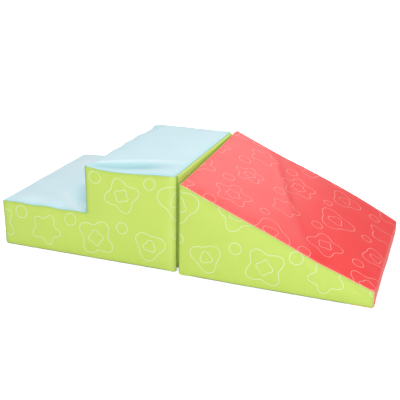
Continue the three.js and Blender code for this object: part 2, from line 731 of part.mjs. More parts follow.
// The two-step block, drawn with its back at x = 0
function steps() {
  const outline = [
    [0, ZIP_CUT], [0, STEP_HEIGHT], [TREAD_DEPTH, STEP_HEIGHT], [TREAD_DEPTH, LOW_HEIGHT],
    [STEP_LENGTH, LOW_HEIGHT], [STEP_LENGTH, 0], [ZIP_CUT, 0],
  ];
  const block = makeBlock(outline, STEP_SHAPE);
  const lowPath = [[STEP_LENGTH, 0], [STEP_LENGTH, LOW_HEIGHT], [TREAD_DEPTH, LOW_HEIGHT]];
  const topPath = [[TREAD_DEPTH, LOW_HEIGHT], [TREAD_DEPTH, STEP_HEIGHT], [0, STEP_HEIGHT]];
  const topOptions = { foldRadius: NOSE_RADIUS, endLines: cornerSeam(STEP_CORNER_RADIUS) };
  const group = new THREE.Group();
  group.add(
    part('step_foam_slab', stepSlab(), FOAM),
    part('step_foam_top', stepTopFoam(), FOAM),
    part('step_side_band', stepBand(block), LIME),
    part('step_low_tread_panel', crossPanel(block, lowPath), SKY),
    part('step_top_tread_panel', crossPanel(block, topPath, topOptions), SKY),
    part('step_base_panel', basePanel(block, STEP_LENGTH), BASE_CLOTH),
    part('step_loop_strip_near', strip(-1, -STRIP_SPACING / 2), HOOK_CLOTH),
    part('step_loop_strip_far', strip(-1, STRIP_SPACING / 2), HOOK_CLOTH),
    ...tapes('step', block),
    zip('step', STEP_SHAPE),
  );
  return group;
}

// The wedge ramp, drawn with its back at x = 0
function ramp() {
  const outline = [
    [0, ZIP_CUT], [0, RAMP_HEIGHT], [RAMP_LENGTH, TOE_HEIGHT], [RAMP_LENGTH, 0], [ZIP_CUT, 0],
  ];
  const block = makeBlock(outline, RAMP_SHAPE);
  const underToe = RAMP_LENGTH - TOE_RETURN;
  const path = [[underToe, 0], [RAMP_LENGTH, 0], [RAMP_LENGTH, TOE_HEIGHT], [0, RAMP_HEIGHT]];
  const slopeOptions = { endLines: cornerSeam(RAMP_CORNER_RADIUS) };
  const group = new THREE.Group();
  group.add(
    part('ramp_foam', rampFoam(), FOAM),
    part('ramp_side_band', rampBand(block), LIME),
    part('ramp_slope_panel', crossPanel(block, path, slopeOptions), CORAL),
    part('ramp_base_panel', basePanel(block, underToe), BASE_CLOTH),
    part('ramp_hook_strip_near', strip(1, -STRIP_SPACING / 2), HOOK_CLOTH),
    part('ramp_hook_strip_far', strip(1, STRIP_SPACING / 2), HOOK_CLOTH),
    ...tapes('ramp', block),
    zip('ramp', RAMP_SHAPE),
  );
  return group;
}

// Both blocks back to back, the origin on the floor under the middle of their overall length
function climber() {
  const middle = (STEP_LENGTH + FRONT_CROWN - RAMP_LENGTH - TOE_CROWN) / 2;
  const [stepBlock, rampBlock] = [steps(), ramp()];
  stepBlock.position.x = middle - JOINT_GAP / 2;
  rampBlock.position.x = middle + JOINT_GAP / 2;
  const group = new THREE.Group();
  group.name = 'foam_climber';
  group.add(stepBlock, rampBlock);
  return group;
}

export default climber();
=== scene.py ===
"""The looks of a toddler's foam climber: a two-step block and a wedge ramp in sewn, zipped covers."""

import json
import logging
import math
from collections.abc import Callable, Iterable, Sequence
from dataclasses import dataclass, field, replace
from enum import Enum

import bmesh
import bpy
import numpy as np
from mathutils import Matrix, Vector, noise
from mathutils.bvhtree import BVHTree
from mathutils.interpolate import poly_3d_calc
from mathutils.kdtree import KDTree

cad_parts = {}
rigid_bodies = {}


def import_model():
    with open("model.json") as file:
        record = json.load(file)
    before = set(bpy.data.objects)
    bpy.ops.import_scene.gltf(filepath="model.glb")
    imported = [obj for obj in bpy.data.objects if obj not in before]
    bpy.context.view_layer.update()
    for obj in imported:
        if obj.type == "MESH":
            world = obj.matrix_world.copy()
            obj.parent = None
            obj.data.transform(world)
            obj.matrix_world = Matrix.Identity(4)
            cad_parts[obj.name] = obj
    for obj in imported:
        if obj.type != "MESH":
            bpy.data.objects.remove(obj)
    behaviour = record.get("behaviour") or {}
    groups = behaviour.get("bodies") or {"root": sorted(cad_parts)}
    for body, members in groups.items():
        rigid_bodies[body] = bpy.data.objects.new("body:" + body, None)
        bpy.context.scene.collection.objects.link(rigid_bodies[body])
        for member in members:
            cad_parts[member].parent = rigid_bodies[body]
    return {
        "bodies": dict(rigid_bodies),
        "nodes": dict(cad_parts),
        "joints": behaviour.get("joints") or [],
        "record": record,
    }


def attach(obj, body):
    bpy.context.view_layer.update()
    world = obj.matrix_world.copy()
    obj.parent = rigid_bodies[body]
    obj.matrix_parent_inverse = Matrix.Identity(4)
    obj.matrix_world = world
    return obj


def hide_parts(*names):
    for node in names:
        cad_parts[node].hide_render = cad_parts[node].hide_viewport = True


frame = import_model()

log = logging.getLogger("climber")

Array = np.ndarray
Item = bpy.types.Object
Triple = tuple[float, float, float]
Drift = Callable[[Array], Array]

MM = 0.001
CLOTH_UV = "cloth"
SEAM_ATTRIBUTE = "seam_distance"
# Painted shade and light, as a value on each corner of a cover
SHADE_ATTRIBUTE = "shade"

# Sewn edges, cover cloth and zip, as in the source of the solids
SEAM_RADIUS = 6 * MM
COVER = 1.6 * MM
ZIP_CUT = 18 * MM
ZIP_END = 26 * MM
TAPE = 0.8 * MM
TAPE_SLOT = 0.9 * MM
TOOTH_PITCH = 5 * MM

# The full corner at either end of the cut-off edge that holds the zip
END_CAP = 8 * MM
CORNER_KEPT = 1.5 * MM

# Painted shade between the blocks and at the upright seams, and painted shade and light in the folds
GAP_TONE = 1.5
GAP_SHADE = 4 * MM
GAP_REACH = 10 * MM
UPRIGHT_SHADE = 6 * MM
FOLD_TONE = 4.2 * MM

# The grid that covers and foam are drawn on
FACE_PITCH = 8 * MM
CORE_PITCH = 10 * MM
SEAM_OFFSETS = (0.7 * MM, 1.6 * MM, 3 * MM, 4.5 * MM, 6 * MM, 9 * MM)
LEAST_STEP = 0.45 * MM
LEAST_LENGTH = 1e-9

# The settings of the cover's cloth simulation
CLOTH_SETTINGS = {
    "quality": 6, "mass": 0.1, "tension_stiffness": 25, "compression_stiffness": 25, "shear_stiffness": 12,
    "bending_stiffness": 1.5, "tension_damping": 15, "compression_damping": 15, "shear_damping": 15,
    "air_damping": 4, "use_pressure": True, "vertex_group_mass": "held",
}


class Side(Enum):
    """The lattice side that a face of a block's skin belongs to: axis number and end."""

    BACK = (0, 0)
    FRONT = (0, 1)
    NEAR = (1, 0)
    FAR = (1, 1)
    UNDER = (2, 0)
    TOP = (2, 1)


def share(value: Array) -> Array:
    """The value, kept from 0 to 1."""
    return np.clip(value, 0.0, 1.0)


def arch(value: Array) -> Array:
    """A hump that is 1 at half of the way and 0 at both ends."""
    return 4 * share(value) * (1 - share(value))


def early_hump(value: Array) -> Array:
    """A hump that is 1 at a third of the way."""
    return 6.75 * share(value) * (1 - share(value)) ** 2


def late_hump(value: Array) -> Array:
    """A hump that is 1 at two thirds of the way."""
    return early_hump(1 - value)


def smooth(value: Array) -> Array:
    """A soft step from 0 to 1."""
    return share(value) ** 2 * (3 - 2 * share(value))


def bell(value: Array) -> Array:
    """A bell that is 1 at 0 and nearly 0 from 2 on, to either side."""
    return np.exp(-(value**2))


def unit(vectors: Array) -> Array:
    """The vectors, each brought to a length of 1."""
    return vectors / np.maximum(np.linalg.norm(vectors, axis=1), LEAST_LENGTH)[:, None]


def is_side(sides: Array, *wanted: Side) -> Array:
    """Which side numbers are among the wanted ones."""
    return np.isin(sides, [list(Side).index(side) for side in wanted])


def pulled_in(one: Array, other: Array) -> tuple[Array, Array]:
    """Moves distances from the start of a square corner on to the round one.

    Args:
        one: distances past the corner's start in one direction.
        other: distances past it in the other direction.

    Returns:
        Both distances on the round corner.
    """
    both = (one > 0) & (other > 0)
    far = np.where(both, np.hypot(one, other), 1.0)
    pull = np.where(both, np.maximum(one, other) / far, 1.0)
    return one * pull, other * pull


def ruled(
    low: float, high: float, pitch: float, seams: Iterable[float], marks: Iterable[float] = (),
) -> Array:
    """Lines from low to high, close together beside seams and at most a pitch apart elsewhere.

    Args:
        low: the first line.
        high: the last line.
        pitch: the widest step.
        seams: lines that get others close beside them.
        marks: lines that are kept as they are.

    Returns:
        The lines in rising order.
    """
    seams = [seam for seam in seams if low <= seam <= high]
    kept = sorted({low, high, *seams, *(mark for mark in marks if low <= mark <= high)})
    for offset in SEAM_OFFSETS:
        for seam in seams:
            for line in (seam - offset, seam + offset):
                inside = low < line < high
                if inside and min(abs(line - other) for other in kept) > LEAST_STEP:
                    kept.append(line)
    kept.sort()
    filled = [kept[0]]
    slack = 0.01
    for start, end in zip(kept, kept[1:]):
        count = max(1, math.ceil((end - start) / pitch - slack))
        filled += [start + (end - start) * (i + 1) / count for i in range(count)]
    return np.array(filled)


def corner_marks(radius: float, steps: int = 6) -> list[float]:
    """Distances that lie at even angles round an upright corner of this radius."""
    return [radius * math.tan(math.pi / 4 * i / steps) for i in range(1, steps)] + [radius]


@dataclass(frozen=True)
class Bump:
    """A rounded bump along a line: how high it stands, where its middle is and how wide it is."""

    height: float
    middle: float
    width: float

    def at(self, place: Array) -> Array:
        """How high it stands at places along the line."""
        return self.height * bell((place - self.middle) / self.width)


@dataclass
class Skin:
    """The faces of a block's closed skin.

    Attributes:
        sharp: each corner's place on the sharp block: depth from the back, across, height.
        quads: four corner numbers for each face, seen from outside.
        sides: the side number of each face.
        middles: the middle of each face on the sharp block.
    """

    sharp: Array
    quads: Array
    sides: Array
    middles: Array

    def on(self, *wanted: Side) -> Array:
        """Which faces lie on the wanted sides."""
        return is_side(self.sides, *wanted)

    def between(self, start: float, end: float = math.inf) -> Array:
        """Which faces have their middle between two depths."""
        return (self.middles[:, 0] > start) & (self.middles[:, 0] < end)


@dataclass
class BlockForm:
    """The settled shape of one stuffed block.

    Attributes:
        direction: 1 where depth runs along +X, and -1 where it runs against it.
        back_x: where its back stands.
        high: how high its back is.
        outline: its side outline, clockwise with depth to the right; drawn here where empty.
        cut: how much of the lower back edge is cut off for the zip.
        wrap: how far the side band reaches over the top.
    """

    half: float
    corner_radius: float
    direction: int
    back_x: float
    length: float
    high: float
    outline: list[tuple[float, float]] = field(default_factory=list)
    cut: float = ZIP_CUT
    wrap: float = 0.0

    def __post_init__(self) -> None:
        """Draws the side outline."""
        self.outline = self.outline or [(0, self.cut), *self.upper(), (self.length, 0), (self.cut, 0)]

    def upper(self) -> list[tuple[float, float]]:
        """The outline's upper corners, from the back to the front."""
        raise NotImplementedError

    def side_area(self) -> float:
        """The area of one side, without the cut."""
        raise NotImplementedError

    def base_end(self) -> float:
        """How far forward the base cloth reaches."""
        return self.length

    def heart(self) -> Array:
        """The outline, drawn in by the seam radius.

        Returns:
            Depth and height of its corners.
        """
        corners = np.array(self.outline)
        to_next = np.roll(corners, -1, axis=0) - corners
        normals = np.stack([to_next[:, 1], -to_next[:, 0]], axis=1)
        normals /= np.linalg.norm(normals, axis=1)[:, None]
        before = np.roll(normals, 1, axis=0)
        grow = SEAM_RADIUS / (1 + (before * normals).sum(1))
        return corners + grow[:, None] * (before + normals)

    def nearest(self, points: Array) -> Array:
        """The point of the heart's area that lies nearest to each point.

        Args:
            points: depth and height of each point.

        Returns:
            Depth and height of the nearest points.
        """
        heart = self.heart()
        best = np.full(len(points), np.inf)
        spots = points.copy()
        inside = np.zeros(len(points), bool)
        tie = 0.3e-6
        for start, end in zip(heart, np.roll(heart, -1, axis=0)):
            run = end - start
            along = share(((points - start) @ run) / (run @ run))
            spot = start + along[:, None] * run
            far = np.linalg.norm(points - spot, axis=1)
            closer = far < best + tie
            best[closer], spots[closer] = far[closer], spot[closer]
            crosses = (start[1] > points[:, 1]) != (end[1] > points[:, 1])
            if crosses.any():
                at = start[0] + run[0] * (points[:, 1] - start[1]) / (run[1] or 1.0)
                inside ^= crosses & (points[:, 0] < at)
        spots[inside] = points[inside]
        return spots

    def round_edges(self, points: Array, radius: float) -> Array:
        """Moves places on the sharp block to the surface with edges of this radius.

        Args:
            points: the places: depth, across, height.
            radius: the radius of the edges.

        Returns:
            The moved places.
        """
        spots = self.nearest(points[:, [0, 2]])
        straight = self.half - SEAM_RADIUS
        core = np.stack([spots[:, 0], np.clip(points[:, 1], -straight, straight), spots[:, 1]], axis=1)
        away = points - core
        deep, wide, tall = away[:, 0], abs(away[:, 1]), away[:, 2]
        length = np.hypot(np.where(deep < 0, np.maximum(-deep, wide), np.hypot(deep, wide)), tall)
        scale = np.where(length > 0, radius / np.maximum(length, LEAST_LENGTH), 0.0)
        return core + away * scale[:, None]

    def round_corners(self, points: Array) -> Array:
        """Gives the upright corners at the back a round of their own.

        Args:
            points: places with rounded edges.

        Returns:
            The moved places.
        """
        b, y, z = points.T
        straight = self.half - self.corner_radius
        deep, wide = pulled_in(self.corner_radius - b, abs(y) - straight)
        return np.stack([self.corner_radius - deep, np.sign(y) * (straight + wide), z], axis=1)

    def fill_ends(self, points: Array) -> Array:
        """Fills the cut-off lower back edge out to a plain corner at the two ends.

        Args:
            points: places with rounded edges.

        Returns:
            The moved places.
        """
        if not self.cut:
            return points
        b, y, z = points.T
        end = smooth((abs(y) - self.half + END_CAP) / (END_CAP - 1 * MM))
        off_line = np.maximum(b + z - self.cut, 0)
        move = np.maximum(np.minimum(b, z), 0) * share(1 - off_line / (2 * self.cut)) ** 2
        near = np.maximum(b, z) < 2 * self.cut
        move = end * np.minimum(move, self.cut / 2 - CORNER_KEPT) * near
        return np.stack([b - move, y, z - move], axis=1)

    def across(self, y: Array) -> Array:
        """How far across places lie: 0 at the near side and 1 at the far side."""
        return (y + self.half) / (2 * self.half)

    def settle(self, points: Array) -> Array:
        """Swells and slumps the rounded block; each block has its own way."""
        raise NotImplementedError

    def shade(self, sharp: Array) -> Array:
        """How deep in painted shade places lie: below 0 painted paler, 1 as a seam, 2 almost black."""
        b, y, _ = sharp.T
        # Painted near-black shade in the gap between the blocks, at the back corners of the sides
        return GAP_TONE * bell(b / GAP_SHADE) * bell((self.half - abs(y)) / GAP_REACH)

    def place(self, sharp: Array, radius: float = SEAM_RADIUS) -> Array:
        """Moves places on the sharp block to the settled surface.

        Args:
            sharp: the places: depth, across, height.
            radius: the radius of the sewn edges, less for what lies under the surface.

        Returns:
            The places in the frame of the whole climber.
        """
        points = self.fill_ends(self.round_edges(np.asarray(sharp, float), radius))
        points = self.settle(self.round_corners(points))
        points[:, 0] = self.back_x + self.direction * points[:, 0]
        return points

    def foot(self, depth: Array) -> Array:
        """How high the cut-off lower back edge stands at this depth."""
        return np.clip(self.cut - depth, 0, self.cut)

    def height(self, depth: Array, portion: Array, offset: Array) -> Array:
        """The height of a lattice level at this depth."""
        raise NotImplementedError

    def keeps(self, depth: Array, portion: Array, offset: Array) -> Array:
        """Whether the lattice cells with these middles belong to the block: here every one."""
        return np.ones(np.broadcast(depth, portion).shape, bool)

    def rows(self, pitch: float, fine: bool) -> Array:
        """The lattice's lines across the block.

        Args:
            pitch: the widest step between lines.
            fine: whether the seams get lines close beside them.

        Returns:
            The lines.
        """
        edge = [self.half - mark for mark in (*corner_marks(self.corner_radius), END_CAP)]
        seams = (-self.half, self.half) if fine else ()
        return ruled(-self.half, self.half, pitch, seams, (*edge, *[-e for e in edge]))

    def skin(self, depths: Array, rows: Array, levels: Array) -> Skin:
        """The closed skin of a lattice over this block.

        Args:
            depths: lines from the back to the front.
            rows: lines across.
            levels: a portion of the block's height there and an offset, for each level.

        Returns:
            The skin, with its faces turned outwards.
        """
        mid_b, mid_l = (depths[1:] + depths[:-1]) / 2, (levels[1:] + levels[:-1]) / 2
        shape = (len(depths) - 1, len(rows) - 1, len(levels) - 1)
        flat = self.keeps(mid_b[:, None], mid_l[None, :, 0], mid_l[None, :, 1])
        kept = np.zeros(tuple(n + 2 for n in shape), bool)
        kept[1:-1, 1:-1, 1:-1] = np.broadcast_to(flat[:, None, :], shape)
        turns = np.array([[0, 0], [1, 0], [1, 1], [0, 1]])
        quads, sides = [], []
        for number, side in enumerate(Side):
            axis, end = side.value
            cells = np.argwhere(kept & ~np.roll(kept, 1 - 2 * end, axis=axis)) - 1
            corners = np.repeat(cells[:, None, :], 4, axis=1)
            corners[:, :, axis] += end
            corners[:, :, (axis + 1) % 3] += turns[:, 0]
            corners[:, :, (axis + 2) % 3] += turns[:, 1]
            if (end == 0) != (self.direction < 0):
                corners = corners[:, ::-1]
            quads.append(corners)
            sides.append(np.full(len(cells), number))
        corners = np.concatenate(quads)
        keys = (corners[..., 0] * len(rows) + corners[..., 1]) * len(levels) + corners[..., 2]
        _, first, inverse = np.unique(keys.ravel(), return_index=True, return_inverse=True)
        used = corners.reshape(-1, 3)[first]
        depth, level = depths[used[:, 0]], levels[used[:, 2]]
        tall = self.height(depth, level[:, 0], level[:, 1])
        sharp = np.stack([depth, rows[used[:, 1]], tall], axis=1)
        ids = inverse.reshape(-1, 4)
        return Skin(sharp, ids, np.concatenate(sides), sharp[ids].mean(axis=1))


@dataclass
class StepForm(BlockForm):
    """The two-step block, with its upper tread's near edge slumped in a long fold."""

    half: float = 230 * MM
    corner_radius: float = 22 * MM
    direction: int = -1
    back_x: float = 8.55 * MM
    length: float = 510 * MM
    tread: float = 255 * MM
    low: float = 130 * MM
    high: float = 260 * MM
    wrap: float = 8 * MM
    nose_radius: float = 16 * MM
    nose_start: float = 30 * MM
    side_crown: float = 4 * MM
    front_crown: float = 3 * MM
    low_crown: float = 4 * MM
    low_far_rise: float = 8 * MM
    top_crown: float = 4 * MM
    reach: float = 4 * MM
    near_sag: float = 8 * MM
    fold_inset: float = 24 * MM
    fold_lean: float = 0.36
    fold_drop: float = 0.45
    fold: Bump = Bump(2.6 * MM, 0.56, 0.2)
    crest: Bump = Bump(2.2 * MM, 1.03, 0.16)
    crest_run: float = 1.6
    near_wave: float = 1.3 * MM
    near_wave_length: float = 14 * MM
    near_wave_reach: float = 1 / 6
    nose_run: float = 60 * MM
    nose_wave: float = 1.69 * MM
    nose_wave_length: float = 13 * MM
    nose_wave_start: float = 1.0
    nose_wave_mean: float = 0.7
    droop: Bump = Bump(7 * MM, 185 * MM, 60 * MM)
    # Painted shade in the hollow and at upright seams; painted highlights on the crest, back corners and far
    # part
    hollow_run: float = 1.5
    hollow_tone: Bump = Bump(1.0, 0.64, 0.26)
    crest_tone: Bump = Bump(1.0, 1.06, 0.10)
    upright_tone: float = 1.75
    rubbed_tone: Bump = Bump(0.8, 17.6 * MM, 8 * MM)
    far_tone: float = 0.35

    def upper(self) -> list[tuple[float, float]]:
        """Both treads."""
        return [(0, self.high), (self.tread, self.high), (self.tread, self.low), (self.length, self.low)]

    def side_area(self) -> float:
        """The area of one side, without the cut."""
        return self.length * self.low + self.tread * (self.high - self.low)

    def inward(self, b: Array, y: Array) -> Array:
        """How far in from the near side places lie, where the long fold's crest is at 1."""
        return (y + self.half) / (self.fold_inset + self.fold_lean * (self.tread - b))

    def upper_rise(self, b: Array, y: Array) -> Array:
        """How far the upper tread stands over its flat height: crown, fold, crest, waves and droop.

        Args:
            b: the depth of each place.
            y: its place across.

        Returns:
            The rise of each place.
        """
        across, inward = self.across(y), self.inward(b, y)
        crown = self.top_crown * arch(b / self.tread) * arch(across)
        hollow = early_hump(1 - b / self.tread)
        slump = hollow * (self.near_sag * smooth((1 - inward) / self.fold_drop) + self.fold.at(inward))
        crest = share(hollow * self.crest_run) * self.crest.at(inward)
        nose = share(1 - (self.tread - b) / self.nose_run) ** 2
        wave = np.sin(y / self.nose_wave_length + self.nose_wave_start) - self.nose_wave_mean
        return crown - slump + crest + nose * (self.nose_wave * wave * arch(across) - self.droop.at(y))

    def settle(self, points: Array) -> Array:
        """Swells the sides and treads and slumps the upper tread's near edge.

        Args:
            points: places with rounded edges and corners.

        Returns:
            The settled places.
        """
        b, y, z = points.T
        radius = self.nose_radius * share((self.half - abs(y)) / self.nose_start)
        start_b, start_z = self.tread - radius, self.high - radius
        deep, tall = pulled_in(b - start_b, z - start_z)
        b, z = start_b + deep, start_z + tall
        across = self.across(y)
        swell_low = arch(b / self.length) * arch(z / self.low)
        swell_high = arch(b / self.tread) * arch(z / self.high)
        swell = swell_low + swell_high - swell_low * swell_high
        climb = share((z - self.low) / (self.high - self.low))
        forward = share((b - self.tread) / (self.length - self.tread))
        front = self.front_crown * arch(z / self.low) * forward
        riser = self.front_crown * arch(climb) * share(b / self.tread)
        rise = (self.low_crown * arch(across) + self.low_far_rise * share(across) ** 2) * arch(forward)
        beside = share(1 - across / self.near_wave_reach) ** 2
        rise += self.near_wave * beside * arch(forward) * np.sin(b / self.near_wave_length)
        return np.stack([
            b + (front + riser) * arch(across) + self.reach * share(b / self.tread),
            y * (1 + self.side_crown * swell / self.half),
            z + rise * share(z / self.low) + self.upper_rise(b, y) * climb,
        ], axis=1)

    def shade(self, sharp: Array) -> Array:
        """Painted shade in the gap, hollow and upright seams; painted light on the crest, corners and far
        side.

        Args:
            sharp: places on the sharp block.

        Returns:
            How deep in shade each lies.
        """
        b, y, z = sharp.T
        inward = self.inward(b, y)
        run = share(self.hollow_run * early_hump(1 - b / self.tread) * share((z - self.high) / MM + 1))
        # Painted shade in the hollow behind the upper tread's near edge, and a painted highlight on its crest
        fold = run * (self.hollow_tone.at(inward) - self.crest_tone.at(inward))
        # Painted near-black shade along the upright seams at the riser and the front
        riser = bell((b - self.tread) / UPRIGHT_SHADE) * (z > self.low + MM)
        foot = bell((b - self.length) / UPRIGHT_SHADE)
        at_side = self.half - abs(y) < MM
        upright = self.upright_tone * np.maximum(riser, foot) * at_side
        # Painted highlight on the rounded back corners of the sides
        corner_highlight = self.rubbed_tone.at(b) * at_side
        # Painted light on the far part of the low tread
        far = self.far_tone * share(self.across(y)) * (b > self.tread + MM)
        return np.maximum(super().shade(sharp), upright) + fold - corner_highlight - far

    def height(self, depth: Array, portion: Array, offset: Array) -> Array:
        """Levels are plain heights, raised over the cut-off lower back edge."""
        return offset + self.foot(depth) * (1 - share(offset / self.low))

    def keeps(self, depth: Array, portion: Array, offset: Array) -> Array:
        """The upper step has only the back half."""
        return (depth < self.tread) | (offset < self.low + 0 * depth)

    def lattice(
        self, pitch: float = FACE_PITCH, fine: bool = True,
        heights: tuple[float, float] | None = None, last: float | None = None,
    ) -> Skin:
        """The skin with lines beside every seam, or a plain one where fine is false.

        Args:
            pitch: the widest step between lines.
            fine: whether seams get lines close beside them.
            heights: the lowest and highest level, or the whole height.
            last: the last depth, or the whole length.

        Returns:
            The skin.
        """
        lowest, highest = heights or (0.0, self.high)
        seams = (self.wrap, self.cut, self.tread, self.length, 0.0) if fine else ()
        marks = (self.cut, self.tread, *corner_marks(self.corner_radius))
        depths = ruled(0.0, last or self.length, pitch, seams, marks)
        level_seams = (0.0, self.low, self.high) if fine else ()
        levels = ruled(lowest, highest, pitch, level_seams, (self.low,))
        return self.skin(depths, self.rows(pitch, fine), np.stack([0 * levels, levels], axis=1))


@dataclass
class RampForm(BlockForm):
    """The wedge ramp, with a soft crease that runs slantwise over its slope."""

    half: float = 238 * MM
    corner_radius: float = 8 * MM
    direction: int = 1
    back_x: float = 12.95 * MM
    length: float = 490 * MM
    high: float = 253 * MM
    toe: float = 43 * MM
    under: float = 60 * MM
    side_crown: float = 4 * MM
    slope_crown: float = 7 * MM
    slope_sag: float = 5 * MM
    slope_rise: float = 7 * MM
    far_rise: float = 4 * MM
    ridge_tilt: float = 6 * MM
    far_ridge: float = 7.5 * MM
    far_ridge_run: float = 2.2
    toe_crown: float = 1.5 * MM
    toe_lean: float = 5 * MM
    meet: float = 2.6 * MM
    meet_run: float = 22 * MM
    foot_spread: float = 3 * MM
    foot_spread_run: float = 3.0
    valley: float = 4.2 * MM
    valley_end: float = 1.2
    crease_start: float = 0.25
    crease_run: float = 0.47
    crease_round: float = 0.012
    crease_reach: float = 0.10
    # Painted shade along the slope's crease, and a painted reflection on the slope above it
    crease_tone: Bump = Bump(0.55, 0.12, 0.5)
    upper_tone: float = 0.55
    upper_start: float = 0.5
    upper_run: float = 0.7
    edge_fade: float = 4 * MM

    def upper(self) -> list[tuple[float, float]]:
        """The slope."""
        return [(0, self.high), (self.length, self.toe)]

    def side_area(self) -> float:
        """The area of one side, without the cut."""
        return self.length * (self.high + self.toe) / 2

    def base_end(self) -> float:
        """How far forward the base cloth reaches, up to the turned-under slope."""
        return self.length - self.under

    def slope_length(self) -> float:
        """The straight slope's length."""
        return math.hypot(self.length, self.high - self.toe)

    def top(self, depth: Array) -> Array:
        """The height of the straight slope at this depth."""
        return self.high + (self.toe - self.high) * depth / self.length

    def past_crease(self, across: Array, down: Array) -> Array:
        """How far past the slanting crease places lie, as a share of the slope."""
        return down - (self.crease_start + self.crease_run * (1 - across))

    def slope_rise_at(self, across: Array, down: Array) -> Array:
        """How far the slope stands over its flat height: crown, edges, tilted ridge and valley.

        Args:
            across: how far across each place lies.
            down: how far down the slope it lies.

        Returns:
            The rise of each place.
        """
        crown = self.slope_crown * late_hump(down) * arch(across)
        edges = (self.slope_rise * late_hump(down) + self.far_rise * arch(down)) * share(across) ** 2
        edges -= self.slope_sag * arch(down) * (1 - across)
        level = self.ridge_tilt * (2 * across - 1)
        tilt = (level + self.far_ridge * share(across) ** 3) * share(1 - self.far_ridge_run * down)
        tilt = np.maximum(tilt, level * share(1 - down))
        past = np.hypot(self.past_crease(across, down), self.crease_round)
        valley = self.valley * np.exp(-past / self.crease_reach) * share(self.valley_end - across)
        return crown + edges + tilt - valley

    def settle(self, points: Array) -> Array:
        """Swells the sides and slope and brings the back's rim up to the step block.

        Args:
            points: places with rounded edges and corners.

        Returns:
            The settled places.
        """
        b, y, z = points.T
        rim = np.maximum(abs(y) - self.half, z - self.high)
        b = b - self.meet * smooth((rim + self.meet_run) / self.meet_run) * share(1 - b / self.meet_run)
        across, down = self.across(y), b / self.length
        climb = share(z / self.top(b))
        toe = self.toe_crown * arch(z / self.toe) * arch(across) + self.toe_lean * share(across) ** 2
        swell = self.side_crown * arch(down) * arch(climb)
        swell += self.foot_spread * share(self.foot_spread_run * down) * share(1 - climb)
        return np.stack([
            b + toe * share(down) ** 2,
            y * (1 + swell / self.half),
            z + self.slope_rise_at(across, down) * climb,
        ], axis=1)

    def shade(self, sharp: Array) -> Array:
        """The gap's painted shade, a painted reflection above the slope's crease and painted shade along it.

        Args:
            sharp: places on the sharp block.

        Returns:
            How deep in shade each lies.
        """
        b, y, z = sharp.T
        past = self.past_crease(self.across(y), b / self.length) / self.crease_reach
        # Painted shade along the crease and a painted reflection above it, fading out at the side edges
        fold = self.crease_tone.at(past) - self.upper_tone * smooth(self.upper_start - past * self.upper_run)
        inner = share((self.half - abs(y)) / self.edge_fade)
        return super().shade(sharp) + fold * (z > self.toe + MM) * inner

    def height(self, depth: Array, portion: Array, offset: Array) -> Array:
        """Levels are portions of the height there, with an offset beside the seams."""
        return self.foot(depth) + portion * (self.top(depth) - self.foot(depth)) + offset

    def lattice(self, pitch: float = FACE_PITCH, fine: bool = True) -> Skin:
        """The skin with lines beside every seam, or a plain one where fine is false.

        Args:
            pitch: the widest step between lines.
            fine: whether seams get lines close beside them.

        Returns:
            The skin.
        """
        seams = (0.0, self.cut, self.base_end(), self.length) if fine else ()
        marks = (self.cut, self.base_end(), *corner_marks(self.corner_radius))
        depths = ruled(0.0, self.length, pitch, seams, marks)
        offsets = [0.0, *SEAM_OFFSETS] if fine else [0.0]
        last = offsets[-1]
        count = max(4, round(self.high / pitch))
        inner = [(i / count, last * (1 - 2 * i / count)) for i in range(1, count)]
        levels = [(0.0, o) for o in offsets] + inner + [(1.0, -o) for o in reversed(offsets)]
        return self.skin(depths, self.rows(pitch, fine), np.array(levels))


def as_shown(item: Item) -> bpy.types.Mesh:
    """A new mesh of an object as its modifiers leave it."""
    return bpy.data.meshes.new_from_object(item.evaluated_get(bpy.context.evaluated_depsgraph_get()))


def linked(name: str, data: bpy.types.ID) -> Item:
    """A new object in the scene.

    Args:
        name: its name.
        data: its mesh, curve, lamp or camera.

    Returns:
        The object.
    """
    item = bpy.data.objects.new(name, data)
    bpy.context.scene.collection.objects.link(item)
    return item


def new_mesh(
    name: str, points: Iterable[Sequence[float]], faces: Iterable[Iterable[int]], soft: bool = True,
    edges: Iterable[tuple[int, int]] = (),
) -> Item:
    """A mesh object in the scene.

    Args:
        name: the object's name.
        points: the corners, in metres.
        faces: corner numbers of each face.
        soft: whether the faces are shaded smooth.
        edges: corner numbers of each line that has no face.

    Returns:
        The object, at the origin.
    """
    mesh = bpy.data.meshes.new(name)
    mesh.from_pydata([tuple(p) for p in points], list(edges), [tuple(int(i) for i in f) for f in faces])
    mesh.update()
    if soft:
        mesh.shade_smooth()
    return linked(name, mesh)


def corner_places(item: Item) -> Array:
    """The corners of a mesh object."""
    return np.array([corner.co for corner in item.data.vertices])


def as_plain_mesh(item: Item) -> None:
    """Replaces an object's mesh by what its modifiers make of it, and removes them.

    Args:
        item: the object.
    """
    made = as_shown(item)
    item.modifiers.clear()
    item.data = made


def thicken(item: Item, thickness: float) -> None:
    """Gives a sheet its thickness, inwards."""
    cloth = item.modifiers.new("cloth", "SOLIDIFY")
    cloth.thickness, cloth.offset = thickness, -1


def join(item: Item, other: Item) -> None:
    """Adds another object's mesh to a piece and removes that object.

    Args:
        item: the piece.
        other: the other object.
    """
    work = bmesh.new()
    work.from_mesh(item.data)
    work.from_mesh(other.data)
    work.to_mesh(item.data)
    work.free()
    bpy.data.objects.remove(other)
    item.data.shade_smooth()


def grid_cells(rows: int, columns: int, turned: bool) -> list[tuple[int, ...]]:
    """The faces of a grid of points.

    Args:
        rows: how many points it has in its first direction.
        columns: how many in its second.
        turned: whether the faces look the other way.

    Returns:
        Point numbers of each face.
    """
    starts = [i * columns + j for i in range(rows - 1) for j in range(columns - 1)]
    cells = [(n, n + columns, n + columns + 1, n + 1) for n in starts]
    return [cell[::-1] for cell in cells] if turned else cells


